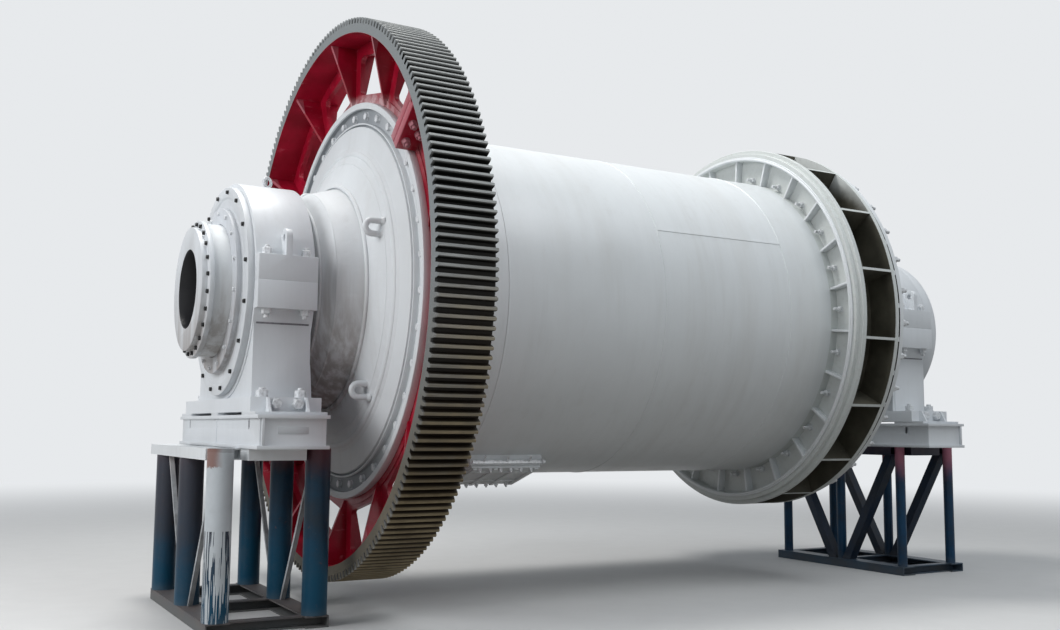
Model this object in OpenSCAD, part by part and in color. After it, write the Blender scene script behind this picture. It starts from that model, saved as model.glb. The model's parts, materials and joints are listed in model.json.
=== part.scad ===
/* [Layout] */
// Height of the stands up to the bearing boxes
stand_h = 1516; // [1400:1:1700]
// Height of the bearing boxes
box_h = 284; // [220:1:360]
// Gap between the round housing and its box
under_h = 145; // [110:5:200]
// Feed bearing centre to the middle of the ring gear
gear_from_bearing = 938; // [900:1:1000]

/* [Ring gear] */
// Tooth module
gear_module = 25; // [24:0.5:26]
// Number of teeth, even
gear_teeth = 216; // [208:2:220]
// Face width of the teeth
gear_w = 530; // [440:2:560]
// Rim thickness below the tooth roots
rim_t = 86; // [60:2:120]
// Thickness of the web plate
gear_web_t = 50; // [30:2:70]
// Web middle behind the middle of the teeth
gear_web_back = 59; // [0:1:80]
// Thickness of the bolting flange of the web
gear_flange_t = 70; // [60:2:90]
// Height of that flange over the feed head flange
gear_flange_lip = 60; // [30:2:80]
// Ribs on each side of the web, even
gear_ribs = 14; // [10:2:18]
// Thickness of a rib
gear_rib_t = 34; // [20:2:50]
// Rib edge behind the faces of the rim
rib_back = 30; // [10:5:60]
// Rib height over the bolting flange at its inner end
rib_foot = 20; // [10:5:40]
// Web left between the openings and the rim
window_rim = 134; // [80:1:160]
// Half width of an opening at its inner end
window_in = 330; // [200:10:340]
// Half width of an opening at its outer end
window_out = 400; // [250:10:420]
// Corner radius of the openings
window_corner = 60; // [30:5:80]
// Web left between bolting flange and opening
window_edge = 36; // [25:1:60]
// Angle of the joint between the gear halves
gear_joint_angle = 141; // [130:1:150]
// Thickness of each joint flange
gear_joint_t = 45; // [30:1:60]

/* [Shell] */
// Outer radius of the shell
shell_r = 1732; // [1650:1:1790]
// Shell plate thickness
shell_t = 36; // [20:1:60]
// Gear web to discharge shell flange, measured along the shell
shell_len = 4761; // [4600:1:5300]
// Share of the shell at each seam, from the feed end
course_ends = [0.17, 0.538, 0.88];
// Height of the feed bolting flange over the shell
feed_flange_h = 222; // [200:1:260]
// Thickness of the shell flanges
shell_flange_t = 60; // [40:1:80]
// Height of the discharge bolting flange over the shell
out_flange_h = 318; // [280:1:340]
// Step from each discharge ring to the next, larger one
ring_step = 67; // [30:1:80]
// Gussets on the discharge flange
gussets = 32; // [24:4:40]
// Flange left outside the gussets
gusset_edge = 88; // [60:2:120]
// Length of a gusset along the shell
gusset_l = 110; // [60:5:180]
// Thickness of a gusset
gusset_t = 22; // [12:1:30]
// Lip of a gusset at its low end
gusset_lip = 12; // [8:1:30]

/* [Heads] */
// Thickness of the feed head flange
head_flange_t = 70; // [60:1:90]
// Thickness of the head plates
head_t = 80; // [50:2:100]
// Rim of the feed head flange outside the bolt channel
channel_edge = 61; // [40:1:80]
// Width of the bolt channel in the feed head flange
channel_w = 141; // [100:1:150]
// Depth of the bolt channel
channel_d = 34; // [15:1:45]
// Lip inside the bolt channel
channel_lip = 15; // [8:1:18]
// Groove between that lip and the disc
groove_w = 22; // [10:1:26]
// Radius of the raised ring on the feed disc
ridge_r = 1500; // [1400:10:1560]
// Height of the steps on disc and neck
ridge_h = 8; // [4:1:14]
// Height of the feed head's disc
head_dome = 180; // [120:5:220]
// Length of the feed neck
feed_flare = 390; // [340:5:420]
// Neck radius where it meets the disc
neck_r = 1080; // [1040:5:1140]
// Neck radius at its middle step
neck_mid_r = 1000; // [950:5:1030]
// Neck radius where it turns in to the trunnion
neck_end_r = 890; // [840:5:930]
// Rounding where the neck meets disc and collar
neck_round = 30; // [20:2:40]
// Slope of the neck down to the collar
collar_slope = 60; // [30:5:80]
// Depth of the open cells of the discharge head
cell_depth = 430; // [300:5:500]
// Height of the drum behind the cells over the shell
cell_drum_h = 58; // [40:2:100]
// Plates between the cells
cell_plates = 18; // [12:2:24]
// Thickness of a cell plate
cell_plate_t = 28; // [16:1:40]
// Edge of plates and back ring inside the largest ring
plate_inset = 44; // [20:1:60]
// Thickness of the rings in front of the cells
cell_ring_t = 55; // [30:1:60]
// Thickness of the ring behind the cells
back_ring_t = 45; // [30:1:60]
// Gap between back ring and end disc
back_gap = 50; // [20:1:80]
// Width of the spacers in that gap
spacer_w = 50; // [30:2:70]
// Radial height of the spacers
spacer_h = 80; // [50:5:110]
// Thickness of the end disc at its rim
disc_t = 55; // [40:1:80]
// Edge of the end disc inside the largest ring
disc_inset = 74; // [60:2:90]
// Height of the end disc's dome
out_dome = 100; // [60:5:140]
// Length of the discharge neck
out_flare = 900; // [800:5:1000]
// Length of the seal collar on the discharge side
out_collar_l = 80; // [40:5:120]

/* [Trunnions] */
// Trunnion radius
trunnion_r = 620; // [600:5:640]
// Raised seal collar beside the head
collar_h = 80; // [60:5:120]
// Wall of the trunnion
trunnion_t = 120; // [80:5:140]
// Radius of the feed opening
feed_bore_r = 367; // [300:1:400]
// Radius of the discharge opening
out_bore_r = 367; // [300:1:400]
// Wall of the liner tubes
liner_t = 36; // [20:1:40]
// Length of the rings that seat a liner tube in its trunnion
liner_seat = 60; // [40:5:90]
// Height of the end flanges over the trunnion
end_flange_h = 22; // [10:1:60]
// Thickness of the end flanges
end_flange_t = 45; // [30:1:60]
// Bolting face of the end flange outside its raised ring
end_face = 67; // [50:1:80]
// Thickness of the raised ring
end_ring_t = 55; // [30:1:60]
// Feed bearing centre to the face of its end flange
feed_overhang = 625; // [600:1:640]
// Discharge bearing centre to the face of its end flange
out_overhang = 789; // [760:1:840]

/* [Bearings] */
// Radius of the round housing
housing_r = 1020; // [1000:5:1060]
// Width of the housing along the shaft
housing_w = 530; // [480:5:560]
// Reach of the split lugs beyond the round housing
lug_out = 70; // [60:5:110]
// Length of each split lug across the shaft
lug_l = 330; // [280:10:360]
// Height of the upper split lugs
lug_up = 225; // [200:5:280]
// Height of the lower split lugs
lug_down = 245; // [200:5:280]
// Pedestal sides inside the round housing
pedestal_in = 65; // [40:5:90]
// Pedestal faces behind the housing faces
pedestal_back = 10; // [5:1:20]
// Reach of the foot block beyond the pedestal
foot_block_out = 265; // [200:5:290]
// Height of the foot block
foot_block_h = 150; // [120:5:180]
// Reach of the base plate beyond the foot block
foot_plate_out = 165; // [120:5:190]
// Thickness of the base plate
foot_plate_t = 26; // [20:1:40]
// Reach of the gussets on the base plate
foot_gusset_out = 105; // [60:5:120]
// Thickness of the gussets on the foot
foot_gusset_t = 24; // [16:1:30]
// Distance of the foot gussets from the middle
foot_gusset_x = 165; // [120:5:200]
// Height of the relief under the housing foot
relief_h = 25; // [10:1:30]
// Half width of the pad in the middle of the foot
relief_pad = 125; // [80:5:200]
// Height of the side gussets on the drum side
side_gusset_h = 300; // [200:10:340]
// Height of the lifting plates over the lugs
lift_h = 245; // [200:5:280]
// Thickness of the lifting plates
lift_t = 57; // [30:1:70]
// Depth of the lifting plates across the shaft
lift_w = 160; // [120:5:180]
// Diameter of the holes in the lifting plates
lift_hole_d = 60; // [40:5:80]
// Edge of the outer cover inside the housing
cover_in = 40; // [30:1:60]
// Thickness of the outer cover on the feed side
cover_t = 61; // [40:1:80]
// Extra depth of the discharge cover
out_cover_extra = 154; // [100:2:200]
// Bolting face of the outer covers
cover_face = 95; // [80:5:110]
// Depth of the dished face inside it
cover_dish = 15; // [5:1:25]
// Reach of the seal rings beyond the trunnion
seal_h = 155; // [140:5:170]
// Thickness of the seal rings
seal_t = 46; // [30:1:60]
// Edge of the inner cover inside the outer cover
inner_cover_in = 60; // [40:5:90]
// Thickness of the inner covers
inner_cover_t = 30; // [20:1:40]
// Clear space between collar and inner cover
collar_gap = 8; // [5:1:12]
// Running clearance round the trunnion
run_gap = 1; // [0.5:0.5:3]
// Clearance of the covers round the trunnion
cover_gap = 5; // [2:1:8]

/* [Stands] */
// Half length of the bearing boxes
box_y = 1440; // [1410:5:1500]
// Width of the bearing boxes
box_w = 565; // [540:5:600]
// Plate thickness of the bearing boxes
box_t = 30; // [16:1:40]
// Lip of the top and bottom plates of the bearing boxes
box_lip = 25; // [10:1:40]
// Offset of the boxes towards the outer side
box_out = 25; // [0:1:35]
// Distance of the slots from the middle of a box
slot_y = 1110; // [900:10:1200]
// Width of the slots in the box faces
slot_w = 45; // [30:1:60]
// Height of the slots in the box faces
slot_h = 85; // [60:1:100]
// Top of the slots below the top of the box
slot_down = 38; // [34:1:50]
// Offset of the feed stand towards its outer side
feed_stand_out = 96; // [60:1:120]
// Offset of the discharge stand towards its outer side
out_stand_out = 198; // [150:1:220]
// Half distance between the leg rows along the shaft
leg_x = 422; // [410:1:440]
// Half distance between the outer feed legs across the shaft
feed_leg_y = 1047; // [1000:1:1100]
// Half distance between the outer discharge legs across the shaft
out_leg_y = 971; // [940:1:1040]
// Diameter of the feed stand legs
feed_leg_d = 219; // [168:1:219]
// Diameter of the discharge stand legs
out_leg_d = 114; // [89:1:168]
// Wall of the leg pipes
leg_wall = 8; // [5:1:12]
// Height of the base frame channels
base_h = 100; // [80:5:140]
// Width of the base frame channels
base_w = 200; // [180:5:220]
// Wall of the channels
channel_t = 12; // [8:1:16]
// Width of the cross channels
cross_w = 100; // [80:5:120]
// Height of the top beams
top_h = 100; // [80:5:140]
// Reach of the top beams beyond the far legs
top_reach = 390; // [80:5:400]
// Width of the packing beam under the box
packer_w = 500; // [400:10:520]
// Side of the feed brace bars
brace_w = 40; // [30:1:60]
// Width of the discharge brace channels
out_brace_w = 120; // [80:5:140]

/* [Manhole] */
// Angle of the manhole round the shell, from the near side through the top
manhole_angle = 252; // [240:1:260]
// Length along the shell
manhole_l = 800; // [700:10:840]
// Width across
manhole_w = 640; // [560:10:700]
// Opening inset from the frame's edge
manhole_rim = 95; // [70:5:120]
// Height of the frame above the shell
manhole_h = 70; // [50:5:100]
// Thickness of the cover
manhole_cover_t = 26; // [16:1:40]
// Edge of the cover inside the frame
manhole_cover_in = 20; // [10:1:40]
// Diagonal bars over the cover
manhole_bar_w = 60; // [40:5:80]
// Height of those bars
manhole_bar_t = 16; // [10:1:24]
// Middle of the manhole behind the gear's web
manhole_from_web = 1306; // [1250:1:1400]

/* [Hidden] */
$fn = 128;
tiny = 0.3;
over = 1;
box_top = stand_h + box_h;
axis_h = box_top + under_h + housing_r;
collar_face = housing_w/2 + inner_cover_t + collar_gap;
out_stack = 2*cell_ring_t + cell_depth + back_ring_t + back_gap + disc_t + out_dome;
bearing_span = gear_from_bearing + gear_web_back + gear_flange_t/2 + shell_len + out_stack
    + out_flare + out_collar_l + collar_face;
feed_reach = max(feed_overhang, feed_stand_out + leg_x + base_w/2);
feed_x = -(bearing_span + out_overhang - feed_reach)/2;
out_x = feed_x + bearing_span;
gear_x = feed_x + gear_from_bearing;
web_x = gear_x + gear_web_back;
pitch_r = gear_module*gear_teeth/2;
tip_r = pitch_r + gear_module;
root_r = pitch_r - 1.25*gear_module;
rim_r = root_r - rim_t;
gear_flange_x = web_x - gear_flange_t/2;
shell_x = web_x + gear_flange_t/2;
shell_end = shell_x + shell_len;
shell_in = shell_r - shell_t;
seams = [for (share = concat([0], course_ends, [1])) shell_x + round(share*shell_len)];
feed_flange_r = shell_r + feed_flange_h;
gear_flange_r = feed_flange_r + gear_flange_lip;
head_x = gear_flange_x - head_flange_t;
channel_out = feed_flange_r - channel_edge;
channel_in = channel_out - channel_w;
disc_rim_r = channel_in - channel_lip - groove_w;
neck_x = head_x - head_dome;
collar_x = neck_x - feed_flare;
trunnion_bore_r = trunnion_r - trunnion_t;
collar_r = trunnion_r + collar_h;
end_flange_r = trunnion_r + end_flange_h;
out_flange_r = shell_r + out_flange_h;
large_r = out_flange_r + 2*ring_step;
cell_x = shell_end + 2*cell_ring_t;
cell_drum_r = shell_r + cell_drum_h;
plate_r = large_r - plate_inset;
back_x = cell_x + cell_depth;
disc_x = back_x + back_ring_t + back_gap;
disc_end = disc_x + disc_t;
disc_r = large_r - disc_inset;
out_neck_x = disc_end + out_dome;
out_collar_x = out_neck_x + out_flare;
lug_y = housing_r + lug_out;
pedestal_y = housing_r - pedestal_in;
pedestal_top = axis_h - sqrt(pow(housing_r, 2) - pow(pedestal_y, 2));
foot_block_y = pedestal_y + foot_block_out;
foot_y = foot_block_y + foot_plate_out;
foot_half = box_w/2 + box_lip;
cover_r = housing_r - cover_in;
seal_r = trunnion_r + seal_h;
white = [0.88, 0.9, 0.91];
pale = [0.78, 0.8, 0.82];
red = [0.55, 0.03, 0.07];
steel = [0.22, 0.22, 0.2];
blue = [0.08, 0.2, 0.36];
primer = [0.5, 0.52, 0.48];

// A solid of revolution about the shaft, from points [radius, place along X]
module turned(points) {
    translate([0, 0, axis_h]) rotate([0, 90, 0]) rotate_extrude() polygon(points);
}

// A round tube about the shaft from x0 to x1
module tube_x(outer, inner, x0, x1) {
    translate([x0, 0, axis_h]) rotate([0, 90, 0]) difference() {
        cylinder(r = outer, h = x1 - x0);
        translate([0, 0, -over]) cylinder(r = inner, h = x1 - x0 + 2*over);
    }
}

// Places children at an angle round the shaft, 0 pointing to +Y and 90 up
module at_angle(a) {
    translate([0, 0, axis_h]) rotate([a, 0, 0]) children();
}

// Outline of a convex polygon with its corners rounded outwards by r
module rounded(points, r) {
    n = len(points);
    moved = [for (i = [0 : n - 1]) let (p = points[i], q = points[(i + 1) % n], d = (q - p)/norm(q - p),
        out = [d[1], -d[0]]) each [p + r*out, q + r*out]];
    polygon(moved);
    for (p = points) translate(p) circle(r = r);
}

// Points of one tooth on the outline of the ring gear
function tooth(i) = let (step = 360/gear_teeth, a = i*step,
        wr = step*0.30, wp = step*0.25, wt = step*0.13)
    [for (q = [[root_r, -wr], [pitch_r, -wp], [tip_r, -wt], [tip_r, wt], [pitch_r, wp], [root_r, wr]])
        [q[0]*cos(a + q[1]), q[0]*sin(a + q[1])]];

// Half a toothed rim, starting at the joint angle
module gear_rim(start) {
    half = gear_teeth/2;
    outline = [for (i = [0 : half - 1]) each tooth(i + 0.5)];
    at_angle(start) translate([gear_x - gear_w/2, 0, 0]) rotate([90, 0, 90]) difference() {
        linear_extrude(gear_w) polygon(concat([[root_r, 0]], outline, [[-root_r, 0]]));
        translate([0, 0, -over]) cylinder(r = rim_r, h = gear_w + 2*over);
    }
}

// One opening of the web, between two ribs
module web_window() {
    low = gear_flange_r + window_edge + window_corner;
    high = rim_r - window_rim - window_corner;
    half_in = window_in - window_corner;
    half_out = window_out - window_corner;
    linear_extrude(2*gear_web_t)
        rounded([[low, -half_in], [high, -half_out], [high, half_out], [low, half_in]], window_corner);
}

// Half the web plate with its ribs, bolting flange and joint flanges
module gear_web(start) {
    half = gear_ribs/2;
    step = 360/gear_ribs;
    at_angle(start) translate([web_x, 0, 0]) rotate([90, 0, 90]) intersection() {
        union() {
            difference() {
                translate([0, 0, -gear_web_t/2]) cylinder(r = rim_r, h = gear_web_t);
                for (i = [0 : half - 1]) rotate(i*step + step/2) translate([0, 0, -gear_web_t]) web_window();
                translate([0, 0, -gear_web_t]) cylinder(r = shell_in, h = 2*gear_web_t);
            }
            translate([0, 0, tiny - gear_flange_t/2]) difference() {
                cylinder(r = gear_flange_r, h = gear_flange_t - 2*tiny);
                translate([0, 0, -over]) cylinder(r = shell_in, h = gear_flange_t + 2*over);
            }
            for (i = [1 : half - 1]) rotate(i*step) gear_rib(gear_rib_t);
            for (a = [0, 180]) rotate(a) gear_rib(2*gear_joint_t);
        }
        translate([-rim_r - over, 0, -gear_w]) cube([2*rim_r + 2*over, rim_r + over, 2*gear_w]);
    }
}

// A rib on both sides of the web, from the bolting flange out to the rim
module gear_rib(t) {
    inner = feed_flange_r + rib_foot;
    foot = gear_flange_t/2 + rib_foot;
    front = gear_w/2 + gear_web_back - rib_back;
    back = gear_w/2 - gear_web_back - rib_back;
    rotate([90, 0, 0]) translate([0, 0, -t/2]) linear_extrude(t)
        polygon([[inner, -foot], [rim_r - over, -front], [rim_r - over, back], [inner, foot]]);
}

module feed_shell_flange() {
    color(white) tube_x(feed_flange_r, shell_r, shell_x, shell_x + shell_flange_t);
}

// One rolled course of the shell, from its number
module course(i) {
    tube_x(shell_r, shell_in, seams[i - 1], seams[i]);
}

module shell_course_1() { color(white) course(1); }
module shell_course_2() {
    color(white) difference() {
        course(2);
        manhole_place() translate([0, 0, shell_in/2 + shell_r/2])
            cube([manhole_l - 2*manhole_rim, manhole_w - 2*manhole_rim, shell_r], center = true);
    }
}
module shell_course_3() { color(white) course(3); }
module shell_course_4() { color(white) course(4); }

// Places children with +Z pointing out of the shell at the manhole
module manhole_place() {
    translate([web_x + manhole_from_web, 0, axis_h]) rotate([manhole_angle - 90, 0, 0]) children();
}

module manhole_frame() {
    color(white) manhole_place() difference() {
        translate([-manhole_l/2, -manhole_w/2, 0]) cube([manhole_l, manhole_w, shell_r + manhole_h]);
        translate([-manhole_l/2 + manhole_rim, -manhole_w/2 + manhole_rim, -over])
            cube([manhole_l - 2*manhole_rim, manhole_w - 2*manhole_rim, shell_r + manhole_h + 2*over]);
        translate([-manhole_l, 0, 0]) rotate([0, 90, 0]) cylinder(r = shell_r, h = 2*manhole_l);
    }
}

// Cover plate with two crossed bars on it
module manhole_cover() {
    l = manhole_l - 2*manhole_cover_in;
    w = manhole_w - 2*manhole_cover_in;
    lean = atan2(w, l);
    color(pale) manhole_place() translate([0, 0, shell_r + manhole_h]) {
        translate([-l/2, -w/2, 0]) cube([l, w, manhole_cover_t]);
        intersection() {
            for (s = [-1, 1]) rotate(s*lean) translate([-l, -manhole_bar_w/2, manhole_cover_t/2])
                cube([2*l, manhole_bar_w, manhole_cover_t/2 + manhole_bar_t]);
            translate([-l/2, -w/2, 0]) cube([l, w, manhole_cover_t + manhole_bar_t]);
        }
    }
}

// Feed head with its bolt channel, stepped disc, neck and hollow trunnion in one casting
module feed_head() {
    neck_mid_x = head_x - head_dome - 0.62*feed_flare;
    neck_end_x = collar_x + neck_round;
    ridge_x = head_x - 0.16*head_dome;
    trunnion_x = feed_x + collar_face;
    color(white) turned([
        [feed_flange_r, gear_flange_x], [feed_flange_r, head_x], [channel_out, head_x],
        [channel_out, head_x + channel_d], [channel_in, head_x + channel_d], [channel_in, head_x],
        [channel_in - channel_lip, head_x], [channel_in - channel_lip, head_x + channel_d],
        [disc_rim_r, head_x + channel_d], [disc_rim_r, head_x - ridge_h],
        [ridge_r + ridge_h, ridge_x], [ridge_r, ridge_x - ridge_h],
        [neck_r + neck_round, neck_x + 0.4*neck_round], [neck_r, neck_x],
        [neck_mid_r + ridge_h, neck_mid_x], [neck_mid_r, neck_mid_x - ridge_h],
        [neck_end_r + ridge_h, neck_end_x + ridge_h], [neck_end_r, neck_end_x],
        [collar_r + collar_slope, collar_x + 0.1*collar_slope], [collar_r, collar_x],
        [collar_r, trunnion_x], [trunnion_r, trunnion_x],
        [trunnion_r, feed_x - feed_overhang + end_ring_t + end_flange_t],
        [trunnion_bore_r, feed_x - feed_overhang + end_ring_t + end_flange_t],
        [trunnion_bore_r, collar_x + head_t], [neck_end_r - head_t, neck_end_x + head_t],
        [neck_mid_r - head_t, neck_mid_x + head_t/2], [neck_r - head_t, neck_x + head_t/2],
        [ridge_r - head_t/2, ridge_x + head_t], [shell_in - over, gear_flange_x]]);
}

// A liner tube from its end face at x0 to x1, with a bolting flange and a raised ring,
// seated in the trunnion at both ends
module trunnion_liner(x0, x1, bore) {
    s = sign(x1 - x0);
    seat = trunnion_bore_r - tiny;
    tube = bore + liner_t;
    ring_x = x0 + s*end_ring_t;
    end_x = ring_x + s*end_flange_t;
    turned([[end_flange_r - end_face, x0], [end_flange_r - end_face, ring_x], [end_flange_r, ring_x],
        [end_flange_r, end_x], [seat, end_x], [seat, end_x + s*liner_seat], [tube, end_x + s*liner_seat],
        [tube, x1 - s*liner_seat], [seat, x1 - s*liner_seat], [seat, x1], [bore, x1], [bore, x0]]);
}

module feed_trunnion_liner() {
    color(white) trunnion_liner(feed_x - feed_overhang, collar_x + head_t, feed_bore_r);
}

// Flange ring with gussets back to the shell
module discharge_shell_flange() {
    top = out_flange_r - gusset_edge;
    color(white) {
        tube_x(out_flange_r, shell_r, shell_end - shell_flange_t, shell_end);
        for (i = [0 : gussets - 1]) at_angle((i + 0.36)*360/gussets)
            translate([shell_end - shell_flange_t, 0, 0])
                rotate([90, 0, 0]) translate([0, 0, -gusset_t/2]) linear_extrude(gusset_t)
                    polygon([[over, shell_r + tiny], [over, top], [-gusset_lip, top],
                        [-gusset_l, shell_r + gusset_lip], [-gusset_l, shell_r + tiny]]);
    }
}

// Two stepped rings and the drum behind the cells
module discharge_cell_drum() {
    color(primer) turned([[out_flange_r + ring_step, shell_end],
        [out_flange_r + ring_step, shell_end + cell_ring_t], [large_r, shell_end + cell_ring_t],
        [large_r, cell_x], [cell_drum_r, cell_x], [cell_drum_r, back_x], [shell_in, back_x],
        [shell_in, shell_end]]);
}

module discharge_cell_plates() {
    color(primer) for (i = [0 : cell_plates - 1]) at_angle((i + 0.375)*360/cell_plates)
        translate([cell_x, cell_drum_r, -cell_plate_t/2])
            cube([cell_depth, plate_r - cell_drum_r, cell_plate_t]);
}

module discharge_back_ring() {
    color(white) tube_x(plate_r, shell_in, back_x, back_x + back_ring_t);
}

// Two spacers to each cell plate
module discharge_ring_spacers() {
    n = 2*cell_plates;
    color(white) for (i = [0 : n - 1]) at_angle((i + 0.75)*360/n)
        translate([back_x + back_ring_t, disc_r - spacer_h - over, -spacer_w/2])
            cube([back_gap, spacer_h, spacer_w]);
}

// Discharge end disc with its neck and hollow trunnion in one casting
module discharge_head() {
    end_x = out_x + out_overhang - end_ring_t - end_flange_t;
    step_x = out_x - collar_face;
    mid_x = out_neck_x + out_flare/2;
    color(white) turned([[disc_r, disc_x], [disc_r, disc_end],
        [ridge_r + ridge_h, disc_end + 0.3*out_dome], [ridge_r, disc_end + 0.3*out_dome + ridge_h],
        [neck_r + neck_round, out_neck_x - 0.4*neck_round], [neck_r, out_neck_x],
        [neck_mid_r, mid_x - ridge_h], [neck_mid_r - ridge_h, mid_x],
        [collar_r + collar_slope, out_collar_x - 0.5*collar_slope], [collar_r, out_collar_x],
        [collar_r, step_x], [trunnion_r, step_x], [trunnion_r, end_x], [trunnion_bore_r, end_x],
        [trunnion_bore_r, out_collar_x - head_t], [collar_r - head_t/2, out_collar_x - 1.5*head_t],
        [neck_mid_r - head_t, mid_x - head_t/2], [neck_r - head_t, out_neck_x - head_t],
        [ridge_r, disc_x]]);
}

module discharge_trunnion_liner() {
    color(white) trunnion_liner(out_x + out_overhang, out_collar_x - head_t, out_bore_r);
}

// Half of the round housing, on the side of the split given by up
module half_housing(up) {
    intersection() {
        tube_x(housing_r, trunnion_r, -housing_w/2, housing_w/2);
        translate([-housing_w, -housing_r, up ? axis_h : axis_h - housing_r])
            cube([2*housing_w, 2*housing_r, housing_r]);
    }
}

module housing_bore() {
    translate([-housing_w, 0, axis_h]) rotate([0, 90, 0])
        cylinder(r = trunnion_r + run_gap, h = 2*housing_w);
}

// Lower half of a bearing housing on its foot, with the drum on the side given by s
module housing_base(x, s) {
    half = housing_w/2 - pedestal_back;
    translate([x, 0, 0]) difference() {
        union() {
            half_housing(false);
            translate([-half, -pedestal_y, box_top + relief_h])
                cube([2*half, 2*pedestal_y, pedestal_top - box_top - relief_h]);
            for (t = [-1, 1]) translate([-housing_w/2, t < 0 ? -lug_y : lug_y - lug_l, axis_h - lug_down])
                cube([housing_w, lug_l, lug_down]);
            translate([-s*box_out, 0, box_top]) foot_block();
            for (t = [-1, 1]) side_gusset(s, t);
        }
        housing_bore();
    }
}

// Foot block and base plate, with a relief under them left and right of the middle pad
module foot_block() {
    difference() {
        union() {
            translate([-foot_half, -foot_block_y, 0]) cube([2*foot_half, 2*foot_block_y, foot_block_h]);
            translate([-foot_half, -foot_y, 0]) cube([2*foot_half, 2*foot_y, foot_plate_t]);
            for (t = [-1, 1], g = [-1, 1]) foot_gusset(t, g*foot_gusset_x);
        }
        for (t = [-1, 1]) translate([-box_w, t < 0 ? -pedestal_y : relief_pad, -over])
            cube([2*box_w, pedestal_y - relief_pad, relief_h + over]);
    }
}

// An upright gusset on the base plate against the foot block
module foot_gusset(side, x) {
    translate([x - foot_gusset_t/2, side*(foot_block_y - over), foot_plate_t - over])
        rotate([90, 0, 90]) linear_extrude(foot_gusset_t)
            polygon([[0, 0], [side*foot_gusset_out, 0],
                [side*foot_gusset_out/3, foot_block_h - foot_plate_t], [0, foot_block_h - foot_plate_t]]);
}

// A sloping gusset from the pedestal's drum side down to the foot block
module side_gusset(s, t) {
    from = s*(housing_w/2 - pedestal_back - over);
    reach = s*(foot_half - box_out) - from;
    translate([0, t*(pedestal_y - foot_gusset_t), box_top + foot_block_h - over])
        rotate([90, 0, 0]) translate([0, 0, -foot_gusset_t/2]) linear_extrude(foot_gusset_t)
            polygon([[from, 0], [from + reach, 0], [from + reach/3, side_gusset_h], [from, side_gusset_h]]);
}

// Upper half of a bearing housing
module housing_cap(x) {
    translate([x, 0, 0]) difference() {
        union() {
            half_housing(true);
            for (t = [-1, 1]) translate([-housing_w/2, t < 0 ? -lug_y : lug_y - lug_l, axis_h])
                cube([housing_w, lug_l, lug_up]);
            for (t = [-1, 1]) translate([-lift_t/2, t*(lug_y - lift_w/2), axis_h + lug_up - over])
                lifting_plate();
        }
        housing_bore();
    }
}

// An upright plate with a hole for a shackle
module lifting_plate() {
    rotate([90, 0, 90]) linear_extrude(lift_t) difference() {
        union() {
            translate([-lift_w/2, 0]) square([lift_w, lift_h - lift_w/2]);
            translate([0, lift_h - lift_w/2]) circle(d = lift_w);
        }
        translate([0, lift_h - lift_w/2]) circle(d = lift_hole_d);
    }
}

// A welded box under a bearing, with top and bottom plates, closed sides and four slots
module bearing_box(x) {
    translate([x, 0, stand_h]) difference() {
        union() {
            for (z = [0, box_h - box_t]) translate([-box_w/2 - box_lip, -box_y - box_lip, z])
                cube([box_w + 2*box_lip, 2*(box_y + box_lip), box_t]);
            translate([-box_w/2, -box_y, over]) cube([box_w, 2*box_y, box_h - 2*over]);
        }
        translate([-box_w/2 + box_t, -box_y + box_t, box_t])
            cube([box_w - 2*box_t, 2*(box_y - box_t), box_h - 2*box_t]);
        for (t = [-1, 1]) translate([-box_w, t*slot_y, box_h - slot_down - slot_h/2])
            rotate([90, 0, 90]) linear_extrude(2*box_w) slot_outline();
    }
}

module slot_outline() {
    square([slot_w, slot_h - slot_w], center = true);
    for (t = [-1, 1]) translate([0, t*(slot_h - slot_w)/2]) circle(d = slot_w);
}

// A channel bar of length l along Y with its back at x = 0, open towards +X
module channel_bar(l, w, h) {
    translate([0, l, 0]) rotate([90, 0, 0]) linear_extrude(l)
        polygon([[0, 0], [w, 0], [w, channel_t], [channel_t, channel_t], [channel_t, h - channel_t],
            [w, h - channel_t], [w, h], [0, h]]);
}

// Base frame of channels under the legs
module stand_base(x, leg_y) {
    half = leg_x + base_w/2;
    translate([x, 0, 0]) {
        for (s = [0, 1]) mirror([s, 0, 0]) translate([-half, -leg_y - base_w/2, 0])
            channel_bar(2*leg_y + base_w, base_w, base_h);
        for (y = [-leg_y, 0, leg_y]) translate([-half + over, y + cross_w/2, 0]) rotate(-90)
            channel_bar(2*(half - over), cross_w, base_h);
    }
}

// Six pipes, of which the two on the near side run up past the ends of the top beams
module stand_legs(x, leg_y, d) {
    for (s = [-1, 1], y = [-leg_y, 0, leg_y]) translate([x + s*leg_x, y, base_h]) difference() {
        h = stand_h - base_h - (y < 0 ? 0 : top_h);
        cylinder(d = d, h = h);
        translate([0, 0, -over]) cylinder(d = d - 2*leg_wall, h = h + 2*over);
    }
}

// Top beams over the legs, joined by cross channels and the packing beam under the box
module stand_top(x, leg_y, d, packer_x) {
    half = leg_x + base_w/2;
    near = -leg_y + d/2;
    far = leg_y + top_reach;
    translate([x, 0, stand_h - top_h]) {
        for (s = [0, 1]) mirror([s, 0, 0]) translate([-half, near, 0])
            channel_bar(far - near, base_w, top_h);
        for (y = [near + cross_w, 0, leg_y]) translate([-half + over, y + cross_w/2, 0]) rotate(-90)
            channel_bar(2*(half - over), cross_w, top_h);
        translate([(packer_x - x - packer_w)/2, -leg_y - base_w/2, 0])
            cube([packer_w, 2*leg_y + base_w, top_h]);
    }
}

// Diagonal braces from the outer legs' tops down to the middle leg's foot
module stand_braces(x, leg_y, d, w) {
    rise = stand_h - base_h - top_h;
    for (s = [-1, 1], t = [-1, 1]) translate([x + s*leg_x - w/2, 0, base_h])
        rotate([90, 0, 90]) linear_extrude(w)
            polygon([[t*d/2, 0], [t*(d/2 + w), 0], [t*(leg_y - d/2), rise], [t*(leg_y - d/2 - w), rise]]);
}

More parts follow.
